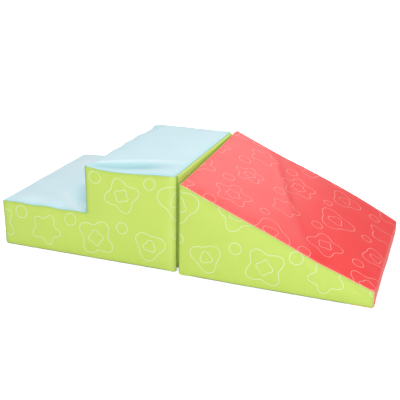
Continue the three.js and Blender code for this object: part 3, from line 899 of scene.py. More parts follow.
@dataclass
class CoverCloth:
    """A short cloth simulation of a whole cover, blown up a little between its seams.

    Attributes:
        ease: how much longer the cloth is than the foam, as a share.
        cap: the furthest that a point may move.
    """

    pitch: float = 13 * MM
    frames: int = 16
    pressure: float = 1.2
    ease: float = 0.003
    cap: float = 3 * MM

    def drift(self, form: BlockForm, held: Callable[[Skin], Array]) -> Drift:
        """Simulates the cover of a block.

        Args:
            form: the block.
            held: gives 1 for each corner of a skin that a seam or the floor holds.

        Returns:
            A function that gives the movement of points on the block's surface.
        """
        skin = form.lattice(self.pitch, fine=False)
        rest = form.place(skin.sharp)
        item = new_mesh("cover_cloth", rest, skin.quads)
        group = item.vertex_groups.new(name="held")
        for number, weight in enumerate(held(skin)):
            if weight > 0:
                group.add([number], float(weight), "REPLACE")
        self.add_cloth(item)
        for number in range(1, self.frames + 1):
            bpy.context.scene.frame_set(number)
        as_plain_mesh(item)
        moved = self.limited(corner_places(item) - rest)
        bpy.context.scene.frame_set(1)
        bpy.data.objects.remove(item)
        before, faces = self.smoothed(rest, skin.quads)
        after, _ = self.smoothed(rest + moved, skin.quads)
        return self.follower(before, after - before, faces)

    def add_cloth(self, item: Item) -> None:
        """Gives an object the cloth modifier.

        Args:
            item: the object, with its group of held corners.
        """
        cloth = item.modifiers.new("cloth", "CLOTH")
        for name, value in CLOTH_SETTINGS.items():
            setattr(cloth.settings, name, value)
        cloth.settings.uniform_pressure_force = self.pressure
        cloth.settings.shrink_min = -self.ease
        cloth.settings.effector_weights.gravity = 0
        cloth.point_cache.frame_end = self.frames

    def limited(self, moved: Array) -> Array:
        """Movements drawn in softly, so that none is longer than the cap."""
        length = np.maximum(np.linalg.norm(moved, axis=1), LEAST_LENGTH)[:, None]
        return moved * (self.cap * np.tanh(length / self.cap) / length)

    @staticmethod
    def smoothed(points: Array, quads: Array) -> tuple[Array, list[tuple[int, ...]]]:
        """A skin after one smooth subdivision.

        Args:
            points: its corners.
            quads: corner numbers of its faces.

        Returns:
            The new corners and faces.
        """
        item = new_mesh("cover_smooth", points, quads)
        rounding = item.modifiers.new("rounding", "SUBSURF")
        rounding.levels = rounding.render_levels = 1
        as_plain_mesh(item)
        made = corner_places(item), [tuple(face.vertices) for face in item.data.polygons]
        bpy.data.objects.remove(item)
        return made

    @staticmethod
    def follower(rest: Array, moved: Array, faces: list[tuple[int, ...]]) -> Drift:
        """A function that reads movements off the nearest face of the simulated cover.

        Args:
            rest: the cover's corners at rest.
            moved: how far each moved.
            faces: their numbers for each face.

        Returns:
            The function.
        """
        spots = [Vector(p) for p in rest]
        tree = BVHTree.FromPolygons(spots, faces)

        def movement(point: Array) -> Array:
            """The movement at one point."""
            spot, _, number, _ = tree.find_nearest(Vector(point))
            return poly_3d_calc([spots[n] for n in faces[number]], spot) @ moved[list(faces[number])]

        return lambda points: np.array([movement(point) for point in points])


@dataclass(frozen=True)
class Fold:
    """A ridge or hollow in a cover, along a line given by depth and width on the sharp block.

    Attributes:
        start: one end, as depth and place across, or height on a side.
        end: the other end.
        width: how far it reaches to either side.
        height: how high it stands, or how deep where negative.
        steep: how much narrower it is on the side to the right of its run.
        overrun: how far past its ends it runs, as a share.
        fade: over what share of its run it rises.
    """

    start: tuple[float, float]
    end: tuple[float, float]
    width: float
    height: float
    steep: float = 1.0
    overrun: float = 0.15
    fade: float = 0.4

    def rise(self, places: Array) -> Array:
        """How much the fold raises each place.

        Args:
            places: depth and place across of each.

        Returns:
            The rise of each.
        """
        start, run = np.array(self.start), np.array(self.end) - np.array(self.start)
        length = np.linalg.norm(run)
        along = (places - start) @ run / length**2
        aside = ((places - start) @ np.array([run[1], -run[0]])) / length
        width = np.where(aside > 0, self.width / self.steep, self.width)
        ends = smooth((along + self.overrun) / self.fade) * smooth((1 + self.overrun - along) / self.fade)
        return self.height * bell(aside / width) * ends


@dataclass(frozen=True)
class Panel:
    """One cut piece of a cover.

    Attributes:
        flat: width and length of the flat cut.
        area: the cut's flat area.
        member: tells which faces of the skin belong to it.
        spread: gives each face corner its place on the flat cloth.
        unevenness: how far its broad face wanders.
        lift: how far it stands off the floor, for a base with dots under it.
    """

    node: str
    finish: "Finish"
    slot: str
    flat: tuple[float, float]
    area: float
    member: Callable[[Skin], Array]
    spread: Callable[[Array, Array], Array]
    folds: tuple[Fold, ...] = ()
    unevenness: float = 0.7 * MM
    lift: float = 0.0

    def fold_rises(self, sharp: Array) -> list[Array]:
        """How much each fold raises places on the sharp block."""
        return [fold.rise(sharp[:, :2]) for fold in self.folds]


@dataclass
class PanelMaker:
    """Makes the cut pieces of one block's cover.

    Attributes:
        back_calm: how much of it the pressed back keeps.
        hollow_share: how much of a hollow's depth the foam leaves it.
        give: how far the foam lets the simulated cloth sink.
    """

    form: BlockForm
    skin: Skin
    drift: Drift
    groove: float = 1.0 * MM
    groove_width: float = 1.3 * MM
    pucker: float = 0.7 * MM
    pucker_start: float = 3 * MM
    pucker_reach: float = 16 * MM
    pucker_length: float = 15 * MM
    fold_start: float = 5 * MM
    wander_start: float = 25 * MM
    unevenness_length: float = 80 * MM
    back_calm: float = 0.2
    hollow_share: float = 0.4
    give: float = 0.3 * MM

    def __post_init__(self) -> None:
        """Places the whole skin once, with the way out at each corner."""
        self.outer = self.form.place(self.skin.sharp)
        self.out = unit(self.outer - self.form.place(self.skin.sharp, SEAM_RADIUS - COVER))
        moved = self.drift(self.outer)
        inward = np.maximum(-(moved * self.out).sum(axis=1) - self.give, 0)
        self.outer = self.outer + moved + self.out * inward[:, None]

    def make(self, panel: Panel) -> Item:
        """The mesh of one cut piece, with its cloth coordinates, distance to its seams and painted shade.

        Args:
            panel: the cut piece.

        Returns:
            The object.
        """
        chosen = np.flatnonzero(panel.member(self.skin))
        ids, quads = np.unique(self.skin.quads[chosen], return_inverse=True)
        quads = quads.reshape(-1, 4)
        sharp, points = self.skin.sharp[ids], self.outer[ids]
        distance = self.distance_to_rim(points, quads)
        points = points + self.out[ids] * self.relief(panel, points, sharp, distance)[:, None]
        item = new_mesh(panel.node.replace("_panel", "") + "_cover", points, quads)
        uv = item.data.uv_layers.new(name=CLOTH_UV)
        flat = panel.spread(
            self.skin.sharp[self.skin.quads[chosen]].reshape(-1, 3), np.repeat(self.skin.sides[chosen], 4),
        )
        uv.data.foreach_set("uv", flat.astype(np.float32).ravel())
        # Painted shade and light: the block's, with fold hollows painted darker and fold ridges paler
        shade = self.form.shade(sharp) - sum(panel.fold_rises(sharp)) / FOLD_TONE
        for name, values in ((SEAM_ATTRIBUTE, distance), (SHADE_ATTRIBUTE, shade)):
            made = item.data.attributes.new(name, "FLOAT", "POINT")
            made.data.foreach_set("value", values.astype(np.float32))
        thicken(item, COVER)
        return item

    def relief(self, panel: Panel, points: Array, sharp: Array, distance: Array) -> Array:
        """How far each corner stands out: seam groove, gathers, folds and a gentle unevenness.

        Args:
            panel: the cut piece.
            points: its corners on the block.
            sharp: the same on the sharp block.
            distance: how far each is from a seam.

        Returns:
            The height of each corner.
        """
        groove = -self.groove * bell(distance / self.groove_width)
        near = np.exp(-distance / self.pucker_reach) * share(distance / self.pucker_start)
        gathers = self.pucker * near * self.wander(points, self.pucker_length)
        broad = self.wander(points, self.unevenness_length, (7, 3, 5))
        uneven = panel.unevenness * broad * share(distance / self.wander_start)
        calm = np.where(sharp[:, 0] < MM, self.back_calm, 1.0)
        folds = sum(panel.fold_rises(sharp), np.zeros(len(points)))
        folds = np.where(folds < 0, folds * self.hollow_share, folds) - panel.lift
        raised = groove + calm * (gathers + uneven) + share(distance / self.fold_start) * folds
        return np.where(sharp[:, 2] < MM, np.minimum(raised, 0), raised)

    @staticmethod
    def wander(points: Array, length: float, shift: Triple = (0, 0, 0)) -> Array:
        """Even noise at each point, that changes over this length."""
        return np.array([noise.noise(Vector(p) / length + Vector(shift)) for p in points])

    @staticmethod
    def distance_to_rim(points: Array, quads: Array) -> Array:
        """How far the corners of a piece are from its open rim.

        Args:
            points: the corners.
            quads: corner numbers of its faces.

        Returns:
            The distance of each.
        """
        edges = np.concatenate([quads[:, [i, (i + 1) % 4]] for i in range(4)])
        edges, uses = np.unique(np.sort(edges, axis=1), axis=0, return_counts=True)
        start, end = points[edges[uses == 1]].swapaxes(0, 1)
        marks = np.concatenate([start, end, (start + end) / 2])
        tree = KDTree(len(marks))
        for i, mark in enumerate(marks):
            tree.insert(mark, i)
        tree.balance()
        return np.array([tree.find(p)[2] for p in points])


class Wire:
    """One socket of a node tree, with arithmetic."""

    def __init__(self, net: "Net", socket: bpy.types.NodeSocket) -> None:
        """Holds the socket and the tree that it is in."""
        self.net, self.socket = net, socket

    def __add__(self, other: "Wire | float") -> "Wire":
        """The sum."""
        return self.net.math("ADD", self, other)

    def __sub__(self, other: "Wire | float") -> "Wire":
        """The difference."""
        return self.net.math("SUBTRACT", self, other)

    def __rsub__(self, other: float) -> "Wire":
        """The difference from a number."""
        return self.net.math("SUBTRACT", other, self)

    def __mul__(self, other: "Wire | float") -> "Wire":
        """The product."""
        return self.net.math("MULTIPLY", self, other)

    def __truediv__(self, other: "Wire | float") -> "Wire":
        """The quotient."""
        return self.net.math("DIVIDE", self, other)


Input = Wire | float | tuple | str | bool | bpy.types.ID
Inputs = dict[str | int, Input]


@dataclass
class Net:
    """A node tree in the making."""

    tree: bpy.types.NodeTree

    def node(self, kind: str, inputs: Inputs | None = None, **settings: object) -> bpy.types.Node:
        """Adds a node.

        Args:
            kind: the node's Blender type.
            inputs: a wire or a value for each input, by name or number.
            settings: properties of the node.

        Returns:
            The node.
        """
        made = self.tree.nodes.new(kind)
        for name, value in settings.items():
            setattr(made, name, value)
        for name, value in (inputs or {}).items():
            if isinstance(value, Wire):
                self.tree.links.new(value.socket, made.inputs[name])
            else:
                made.inputs[name].default_value = value
        return made

    def wire(
        self, kind: str, output: str | int, inputs: Inputs | None = None, **settings: object,
    ) -> Wire:
        """Adds a node and gives one of its outputs."""
        return Wire(self, self.node(kind, inputs, **settings).outputs[output])

    def math(self, operation: str, *values: Wire | float) -> Wire:
        """Adds a math node."""
        return self.wire("ShaderNodeMath", 0, dict(enumerate(values)), operation=operation)

    def clamp(self, value: Wire) -> Wire:
        """The value kept from 0 to 1."""
        return self.wire("ShaderNodeClamp", 0, {0: value})

    def mix(self, factor: Wire, one: Wire | tuple, other: Wire | tuple) -> Wire:
        """A colour between two."""
        pair = [value if isinstance(value, Wire) else (*value, 1.0) for value in (one, other)]
        return self.wire("ShaderNodeMix", 2, {0: factor, 6: pair[0], 7: pair[1]}, data_type="RGBA")

    def split(self, vector: Wire) -> tuple[Wire, Wire, Wire]:
        """The three parts of a vector."""
        made = self.node("ShaderNodeSeparateXYZ", {0: vector})
        return tuple(Wire(self, made.outputs[i]) for i in range(3))

    def join(self, x: Wire | float, y: Wire | float, z: Wire | float) -> Wire:
        """A vector of three parts."""
        return self.wire("ShaderNodeCombineXYZ", 0, {0: x, 1: y, 2: z})


class Grain(Enum):
    """The fine relief of a material."""

    LEATHER = "leather"
    CELLS = "cells"
    WEAVE = "weave"
    PILE = "pile"
    BRUSHED = "brushed"
    MOULDED = "moulded"


WEAVE_LEAN = (0.6, 0.8)
CELL_POWER = {Grain.CELLS: 0.6, Grain.LEATHER: 1.6}
BRUSH_SCALE = (8.0, 0.6, 8.0)


@dataclass(frozen=True)
class Finish:
    """A procedural material.

    Attributes:
        shade: a second colour that it varies towards.
        grain: the kind of fine relief.
        pitch: the size of the grain.
        relief: how high the grain stands.
        patch_scale: how many patches of the second colour a metre has.
    """

    name: str
    color: Triple
    shade: Triple
    roughness: float
    grain: Grain
    pitch: float
    relief: float
    metallic: float = 0.0
    coat: float = 0.0
    coat_roughness: float = 0.35
    sheen: float = 0.0
    roughness_range: float = 0.12
    patch_scale: float = 14.0
    patch_start: float = 0.35
    patch_gain: float = 2.0

    def material(self) -> bpy.types.Material:
        """The material, made once.

        Returns:
            The material.
        """
        known = bpy.data.materials.get(self.name)
        if known:
            return known
        made = bpy.data.materials.new(self.name)
        made.use_nodes = True
        made.node_tree.nodes.clear()
        net = Net(made.node_tree)
        place = self.place(net)
        patches = net.wire(
            "ShaderNodeTexNoise", 0, {"Vector": place, "Scale": self.patch_scale, "Detail": 3.0},
        )
        least = self.roughness - self.roughness_range / 2
        surface = net.wire("ShaderNodeBsdfPrincipled", 0, {
            "Base Color": self.colour(net, place, patches),
            "Roughness": net.math("MULTIPLY_ADD", patches, self.roughness_range, least),
            "Normal": net.wire("ShaderNodeBump", 0, {
                "Height": self.height(net, place), "Distance": self.relief, "Strength": 1.0,
            }),
            "Metallic": self.metallic,
            "Coat Weight": self.coat,
            "Coat Roughness": self.coat_roughness,
            "Sheen Weight": self.sheen,
        })
        net.node("ShaderNodeOutputMaterial", {"Surface": surface})
        made.diffuse_color = (*self.color, 1.0)
        return made

    def place(self, net: Net) -> Wire:
        """Where the grain is read: the object's own coordinates."""
        return net.wire("ShaderNodeTexCoord", "Object")

    def colour(self, net: Net, place: Wire, patches: Wire) -> Wire:
        """The base colour, uneven between the two colours."""
        return net.mix(net.clamp((patches - self.patch_start) * self.patch_gain), self.color, self.shade)

    def height(self, net: Net, place: Wire) -> Wire:
        """The height of the grain, from 0 to 1.

        Args:
            net: the material's node tree.
            place: where the grain is read.

        Returns:
            The height.
        """
        scale = 1 / self.pitch
        if self.grain in CELL_POWER:
            cells = net.wire("ShaderNodeTexVoronoi", "Distance", {"Vector": place, "Scale": scale})
            return net.math("POWER", net.clamp(cells), CELL_POWER[self.grain])
        if self.grain is Grain.WEAVE:
            x, y, z = net.split(place)
            leans = (x + z * WEAVE_LEAN[0], y + z * WEAVE_LEAN[1])
            waves = [net.math("SINE", lean * (math.tau * scale)) for lean in leans]
            return net.math("ABSOLUTE", waves[0] * waves[1])
        if self.grain is Grain.BRUSHED:
            place = net.join(*[part * by for part, by in zip(net.split(place), BRUSH_SCALE)])
        return net.wire("ShaderNodeTexNoise", 0, {"Vector": place, "Scale": scale, "Detail": 4.0})


@dataclass(frozen=True)
class OutlinePrint:
    """A thin printed outline of lobed shapes with small ones inside, and rings between them.

    Attributes:
        cell: width and height of its brick pattern.
        size: the least radius of a shape, and how much more it may be.
        lobe: how far its lobes stand out, as a share.
        inner_chance: what share of the shapes has none inside.
    """

    ink: Triple = (0.86, 0.88, 0.84)
    cell: tuple[float, float] = (150 * MM, 130 * MM)
    line: float = 1.0 * MM
    fade: float = 0.4 * MM
    size: tuple[float, float] = (34 * MM, 12 * MM)
    lobe: float = 0.2
    inner: float = 0.42
    inner_lobe: float = -0.16
    inner_chance: float = 0.35
    ring: tuple[float, float] = (12 * MM, 6 * MM)
    ring_place: tuple[float, float] = (0.5, 0.3)

    def strength(self, net: Net, place: Wire) -> Wire:
        """How much ink lies at a point.

        Args:
            net: the material's node tree.
            place: the place on the flat cloth.

        Returns:
            From 0 to 1.
        """
        x, y, _ = net.split(place)
        turn, far, (first, second, third) = self.polar(net, x, y)
        lobes = net.math("FLOOR", first * 2.99) + 3.0
        size = third * self.size[1] + self.size[0]
        phase = turn * lobes + second * math.tau
        wave, slope = net.math("COSINE", phase), net.math("SINE", phase)
        ink = self.stroke(net, far, size, wave * self.lobe + 1.0, slope * lobes * self.lobe)
        small = self.stroke(
            net, far, size * self.inner, wave * self.inner_lobe + 1.0, slope * lobes * -self.inner_lobe,
        )
        small = small * net.math("GREATER_THAN", second, self.inner_chance)
        shift = [side * part for side, part in zip(self.cell, self.ring_place)]
        _, ring_far, chance = self.polar(net, x - shift[0], y - shift[1])
        ring = self.stroke(net, ring_far, chance[0] * self.ring[1] + self.ring[0], 1.0, None)
        return net.clamp(ink + small + ring)

    def polar(self, net: Net, x: Wire, y: Wire) -> tuple[Wire, Wire, tuple[Wire, Wire, Wire]]:
        """A point's place in its brick of the pattern.

        Args:
            net: the material's node tree.
            x: the point's place along the cloth.
            y: its place across it.

        Returns:
            The angle and distance from the brick's middle and the brick's three random numbers.
        """
        wide, high = self.cell
        row = net.math("FLOOR", y / high)
        shift = net.math("MODULO", net.math("ABSOLUTE", row), 2.0) * 0.5
        column = net.math("FLOOR", x / wide + shift)
        u = x - (column - shift + 0.5) * wide
        v = y - (row + 0.5) * high
        random = net.wire("ShaderNodeTexWhiteNoise", "Color", {"Vector": net.join(column, row, 3.7)})
        return net.math("ARCTAN2", v, u), net.math("SQRT", u * u + v * v), net.split(random)

    def stroke(self, net: Net, far: Wire, size: Wire, wave: Wire | float, slope: Wire | None) -> Wire:
        """Ink of an even width along a waved ring.

        Args:
            net: the material's node tree.
            far: the distance from the ring's middle.
            size: the ring's radius.
            wave: the radius there, as a share.
            slope: how that changes round the ring, or None where it does not.

        Returns:
            The ink, from 0 to 1.
        """
        away = net.math("ABSOLUTE", far - size * wave)
        if slope:
            steep = slope * size / (far + 1 * MM)
            away = away / net.math("SQRT", steep * steep + 1.0)
        return net.clamp(((self.line + self.fade) / 2 - away) / self.fade)


@dataclass(frozen=True)
class CoatedCloth(Finish):
    """Soft coated cloth on its own cloth coordinates, with painted shade and light at its seams and folds."""

    grain: Grain = Grain.LEATHER
    pitch: float = 0.9 * MM
    relief: float = 0.05 * MM
    patch_start: float = 0.3
    patch_gain: float = 2.5
    # Painted shade along the seams; on the coral a pale seam line, partly a painted highlight
    seam_color: Triple = (0.5, 0.5, 0.5)
    seam_reach: float = 4 * MM
    seam_strength: float = 0.6
    # Painted shade in fold hollows
    hollow: Triple = (0.33, 0.48, 0.08)
    fold_strength: float = 0.7
    # Painted light where the shade value is below 0
    pale: Triple = (0.85, 0.9, 0.9)
    pale_strength: float = 0.35
    # Painted near-black shade where the shade value is over 1
    dark: Triple = (0.04, 0.065, 0.004)
    pattern: OutlinePrint | None = None

    def place(self, net: Net) -> Wire:
        """Where the grain is read: the flat cloth, in metres."""
        return net.wire("ShaderNodeUVMap", 0, uv_map=CLOTH_UV)

    def colour(self, net: Net, place: Wire, patches: Wire) -> Wire:
        """The cloth's colour, its print and the painted shade and light of its seams and folds.

        Args:
            net: the material's node tree.
            place: the place on the flat cloth.
            patches: noise that makes it uneven.

        Returns:
            The colour.
        """
        ground = super().colour(net, place, patches)
        if self.pattern:
            ground = net.mix(self.pattern.strength(net, place), ground, self.pattern.ink)
        distance = net.wire("ShaderNodeAttribute", "Fac", attribute_name=SEAM_ATTRIBUTE)
        shade = net.wire("ShaderNodeAttribute", "Fac", attribute_name=SHADE_ATTRIBUTE)
        near = net.math("POWER", 0.5, distance / self.seam_reach)
        # Painted shade at the seams, painted light below 0, painted shade in hollows above 0, near-black
        # above 1
        for strength, tone in (
            (near * self.seam_strength, self.seam_color),
            (net.clamp(shade * -1.0) * self.pale_strength, self.pale),
            (net.clamp(shade) * self.fold_strength, self.hollow),
            (net.clamp(shade - 1.0), self.dark),
        ):
            ground = net.mix(strength, ground, tone)
        return ground


# Each cloth's seam, hollow, pale and dark colours are painted shade and light
LIME = CoatedCloth(
    "lime_coated_cloth", (0.545, 0.715, 0.110), (0.570, 0.735, 0.125), 0.52, coat=0.2,
    seam_color=(0.33, 0.48, 0.08), seam_reach=2.2 * MM, seam_strength=0.85,
    pale=(0.70, 0.84, 0.28), pattern=OutlinePrint(),
)
SKY = CoatedCloth(
    "sky_coated_cloth", (0.575, 0.765, 0.825), (0.595, 0.780, 0.835), 0.50, coat=0.08,
    seam_color=(0.36, 0.66, 0.69), seam_reach=5 * MM, seam_strength=0.9,
    hollow=(0.27, 0.55, 0.58), fold_strength=0.85, pale_strength=0.55,
)
CORAL = CoatedCloth(
    "coral_coated_cloth", (0.860, 0.036, 0.036), (0.880, 0.042, 0.042), 0.46, coat=0.12,
    seam_color=(0.92, 0.72, 0.44), seam_reach=0.9 * MM, seam_strength=0.9,
    hollow=(0.70, 0.028, 0.028), fold_strength=0.6, pale=(0.88, 0.180, 0.175), pale_strength=0.5,
    pattern=OutlinePrint(ink=(0.93, 0.56, 0.53)),
)
BASE_CLOTH = CoatedCloth(
    "dark_base_cloth", (0.060, 0.066, 0.074), (0.075, 0.082, 0.090), 0.85, Grain.WEAVE, 1.4 * MM, 0.15 * MM,
    seam_color=(0.035, 0.038, 0.042), sheen=0.2,
)
FOAM = Finish(
    "cream_foam", (0.86, 0.79, 0.60), (0.80, 0.71, 0.50), 0.95, Grain.CELLS, 1.8 * MM, 0.4 * MM, sheen=0.1,
)
PILE = Finish(
    "pile_tape", (0.78, 0.78, 0.75), (0.70, 0.70, 0.67), 0.9, Grain.PILE, 0.7 * MM, 0.2 * MM, sheen=0.4,
)
TAPE_CLOTH = Finish(
    "woven_zip_tape", (0.45, 0.60, 0.13), (0.40, 0.54, 0.11), 0.8, Grain.WEAVE, 0.8 * MM, 0.08 * MM,
    sheen=0.2,
)
TEETH = Finish(
    "moulded_zip_teeth", (0.69, 0.76, 0.35), (0.66, 0.72, 0.32), 0.38, Grain.MOULDED, 1.5 * MM, 0.02 * MM,
)
METAL = Finish(
    "plated_zip_metal", (0.62, 0.63, 0.64), (0.56, 0.57, 0.58), 0.32, Grain.BRUSHED, 0.5 * MM, 0.01 * MM,
    metallic=1.0,
)
THREAD_LIGHT = Finish(
    "cream_thread", (0.80, 0.74, 0.58), (0.72, 0.66, 0.50), 0.7, Grain.WEAVE, 0.5 * MM, 0.05 * MM,
)
THREAD_DARK = replace(THREAD_LIGHT, name="olive_thread", color=(0.23, 0.33, 0.12), shade=(0.19, 0.28, 0.10))
DOTS = Finish(
    "rubber_dots", (0.045, 0.048, 0.052), (0.055, 0.058, 0.062), 0.6, Grain.MOULDED, 1 * MM, 0.02 * MM,
)


def dress(item: Item, finish: Finish) -> None:
    """Gives a piece its material.

    Args:
        item: the piece.
        finish: its finish.
    """
    item.data.materials.clear()
    item.data.materials.append(finish.material())


def stand_in(item: Item, body: str, node: str) -> None:
    """Lets a piece ride on a body in place of a solid's node."""
    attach(item, body)
    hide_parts(node)


class Form(Enum):
    """The small form that a group repeats."""

    STITCH = "stitch"
    TOOTH = "tooth"
    DOT = "dot"
    LOOP = "loop"


@dataclass
class Repeat:
    """A Geometry Nodes group that sets one small form along lines or over a face.

    Attributes:
        size: the form's size in three directions, the last along the line.
        up: which way the form's first direction points.
        seed: the random order.
    """

    form: Form
    size: Triple
    spacing: float
    up: Triple
    finish: Finish
    seed: int = 0

    def group(self) -> bpy.types.NodeTree:
        """The node group, made once for each form.

        Returns:
            The group.
        """
        name = f"repeat_{self.form.value}"
        known = bpy.data.node_groups.get(name)
        if known:
            return known
        tree = bpy.data.node_groups.new(name, "GeometryNodeTree")
        tree.interface.new_socket("Geometry", in_out="OUTPUT", socket_type="NodeSocketGeometry")
        for label, kind in (
            ("Geometry", "Geometry"), ("Spacing", "Float"), ("Size", "Vector"), ("Up", "Vector"),
            ("Seed", "Int"), ("Finish", "Material"),
        ):
            tree.interface.new_socket(label, in_out="INPUT", socket_type=f"NodeSocket{kind}")
        net = Net(tree)
        given = net.node("NodeGroupInput")
        source = {socket.name: Wire(net, socket) for socket in given.outputs if socket.name}
        spread = self.over_face if self.form is Form.LOOP else self.along_line
        points, turn = spread(net, source)
        placed = net.wire("GeometryNodeInstanceOnPoints", 0, {
            "Points": points, "Instance": self.small_form(net, source), "Rotation": turn,
            "Scale": net.wire("FunctionNodeRandomValue", 1, {"Min": 0.9, "Max": 1.0, "Seed": source["Seed"]}),
        })
        whole = net.wire("GeometryNodeRealizeInstances", 0, {0: placed})
        dressed = net.wire("GeometryNodeSetMaterial", 0, {"Geometry": whole, "Material": source["Finish"]})
        net.node("NodeGroupOutput", {0: dressed})
        return tree

    @staticmethod
    def along_line(net: Net, source: dict[str, Wire]) -> tuple[Wire, Wire]:
        """Points at the spacing along every line of the mesh.

        Args:
            net: the group's node tree.
            source: the group's inputs by name.

        Returns:
            The points and their rotation.
        """
        curve = net.wire("GeometryNodeMeshToCurve", 0, {0: source["Geometry"]})
        points = net.wire(
            "GeometryNodeResampleCurve", 0, {"Curve": curve, "Length": source["Spacing"]}, mode="LENGTH",
        )
        turn = net.wire("FunctionNodeAxesToRotation", 0, {
            "Primary Axis": net.wire("GeometryNodeInputTangent", 0), "Secondary Axis": source["Up"],
        }, primary_axis="Z", secondary_axis="X")
        return points, turn

    @staticmethod
    def over_face(net: Net, source: dict[str, Wire]) -> tuple[Wire, Wire]:
        """Scattered points over the mesh's faces, each turned at random about the way out.

        Args:
            net: the group's node tree.
            source: the group's inputs by name.

        Returns:
            The points and their rotation.
        """
        seed = source["Seed"]
        spread = net.node("GeometryNodeDistributePointsOnFaces", {
            "Mesh": source["Geometry"], "Distance Min": source["Spacing"], "Density Max": 9e5, "Seed": seed,
        }, distribute_method="POISSON")
        spin = net.wire("FunctionNodeRandomValue", 1, {"Min": 0.0, "Max": math.tau, "Seed": seed})
        turned = net.wire("FunctionNodeRotateRotation", 0, {
            "Rotation": Wire(net, spread.outputs["Rotation"]),
            "Rotate By": net.wire("FunctionNodeAxisAngleToRotation", 0, {"Axis": (0, 0, 1), "Angle": spin}),
        }, rotation_space="LOCAL")
        return Wire(net, spread.outputs["Points"]), turned

    def small_form(self, net: Net, source: dict[str, Wire]) -> Wire:
        """The form itself, turned to its own directions and brought to its size.

        Args:
            net: the group's node tree.
            source: the group's inputs by name.

        Returns:
            The form's mesh.
        """
        rotation = (0, 0, 0)
        if self.form is Form.LOOP:
            arc = net.wire(
                "GeometryNodeCurveArc", 0, {"Resolution": 6, "Radius": 1.0, "Sweep Angle": math.pi * 1.15},
            )
            rim = net.wire("GeometryNodeCurvePrimitiveCircle", 0, {"Resolution": 4, "Radius": 0.09})
            made = net.wire(
                "GeometryNodeCurveToMesh", 0, {"Curve": arc, "Profile Curve": rim, "Fill Caps": True},
            )
            rotation = (math.pi / 2, 0, 0)
        elif self.form is Form.TOOTH:
            block = net.wire("GeometryNodeMeshCube", 0, {"Size": (1, 1, 1)})
            made = net.wire(
                "GeometryNodeSubdivisionSurface", 0, {"Mesh": block, "Level": 2, "Edge Crease": 0.75},
            )
        else:
            made = net.wire("GeometryNodeMeshUVSphere", 0, {"Segments": 8, "Rings": 6, "Radius": 0.5})
        turned = net.wire("GeometryNodeTransform", 0, {"Geometry": made, "Rotation": rotation})
        return net.wire("GeometryNodeTransform", 0, {"Geometry": turned, "Scale": source["Size"]})

    def apply(self, name: str, points: Array, edges: list, faces: list) -> Item:
        """Repeats the form over a mesh.

        Args:
            name: the new piece's name.
            points: the mesh's corners.
            edges: its lines, for forms that follow lines.
            faces: its faces, for forms that cover a face.

        Returns:
            The piece, as a plain mesh.
        """
        item = new_mesh(name, points, faces, soft=False, edges=edges)
        repeat = item.modifiers.new("repeat", "NODES")
        repeat.node_group = self.group()
        values = {
            "Spacing": self.spacing, "Size": self.size, "Up": self.up, "Seed": self.seed,
            "Finish": self.finish.material(),
        }
        for socket in repeat.node_group.interface.items_tree:
            if socket.in_out == "INPUT" and socket.name in values:
                repeat[socket.identifier] = values[socket.name]
        as_plain_mesh(item)
        item.data.shade_smooth()
        return item

    def along(self, name: str, lines: Sequence[Array]) -> Item:
        """Repeats the form along lines.

        Args:
            name: the new piece's name.
            lines: the points of each line.

        Returns:
            The piece, as a plain mesh.
        """
        starts = np.cumsum([0, *[len(line) for line in lines]])
        edges = [(s + i, s + i + 1) for s, line in zip(starts, lines) for i in range(len(line) - 1)]
        return self.apply(name, np.concatenate(lines), edges, [])


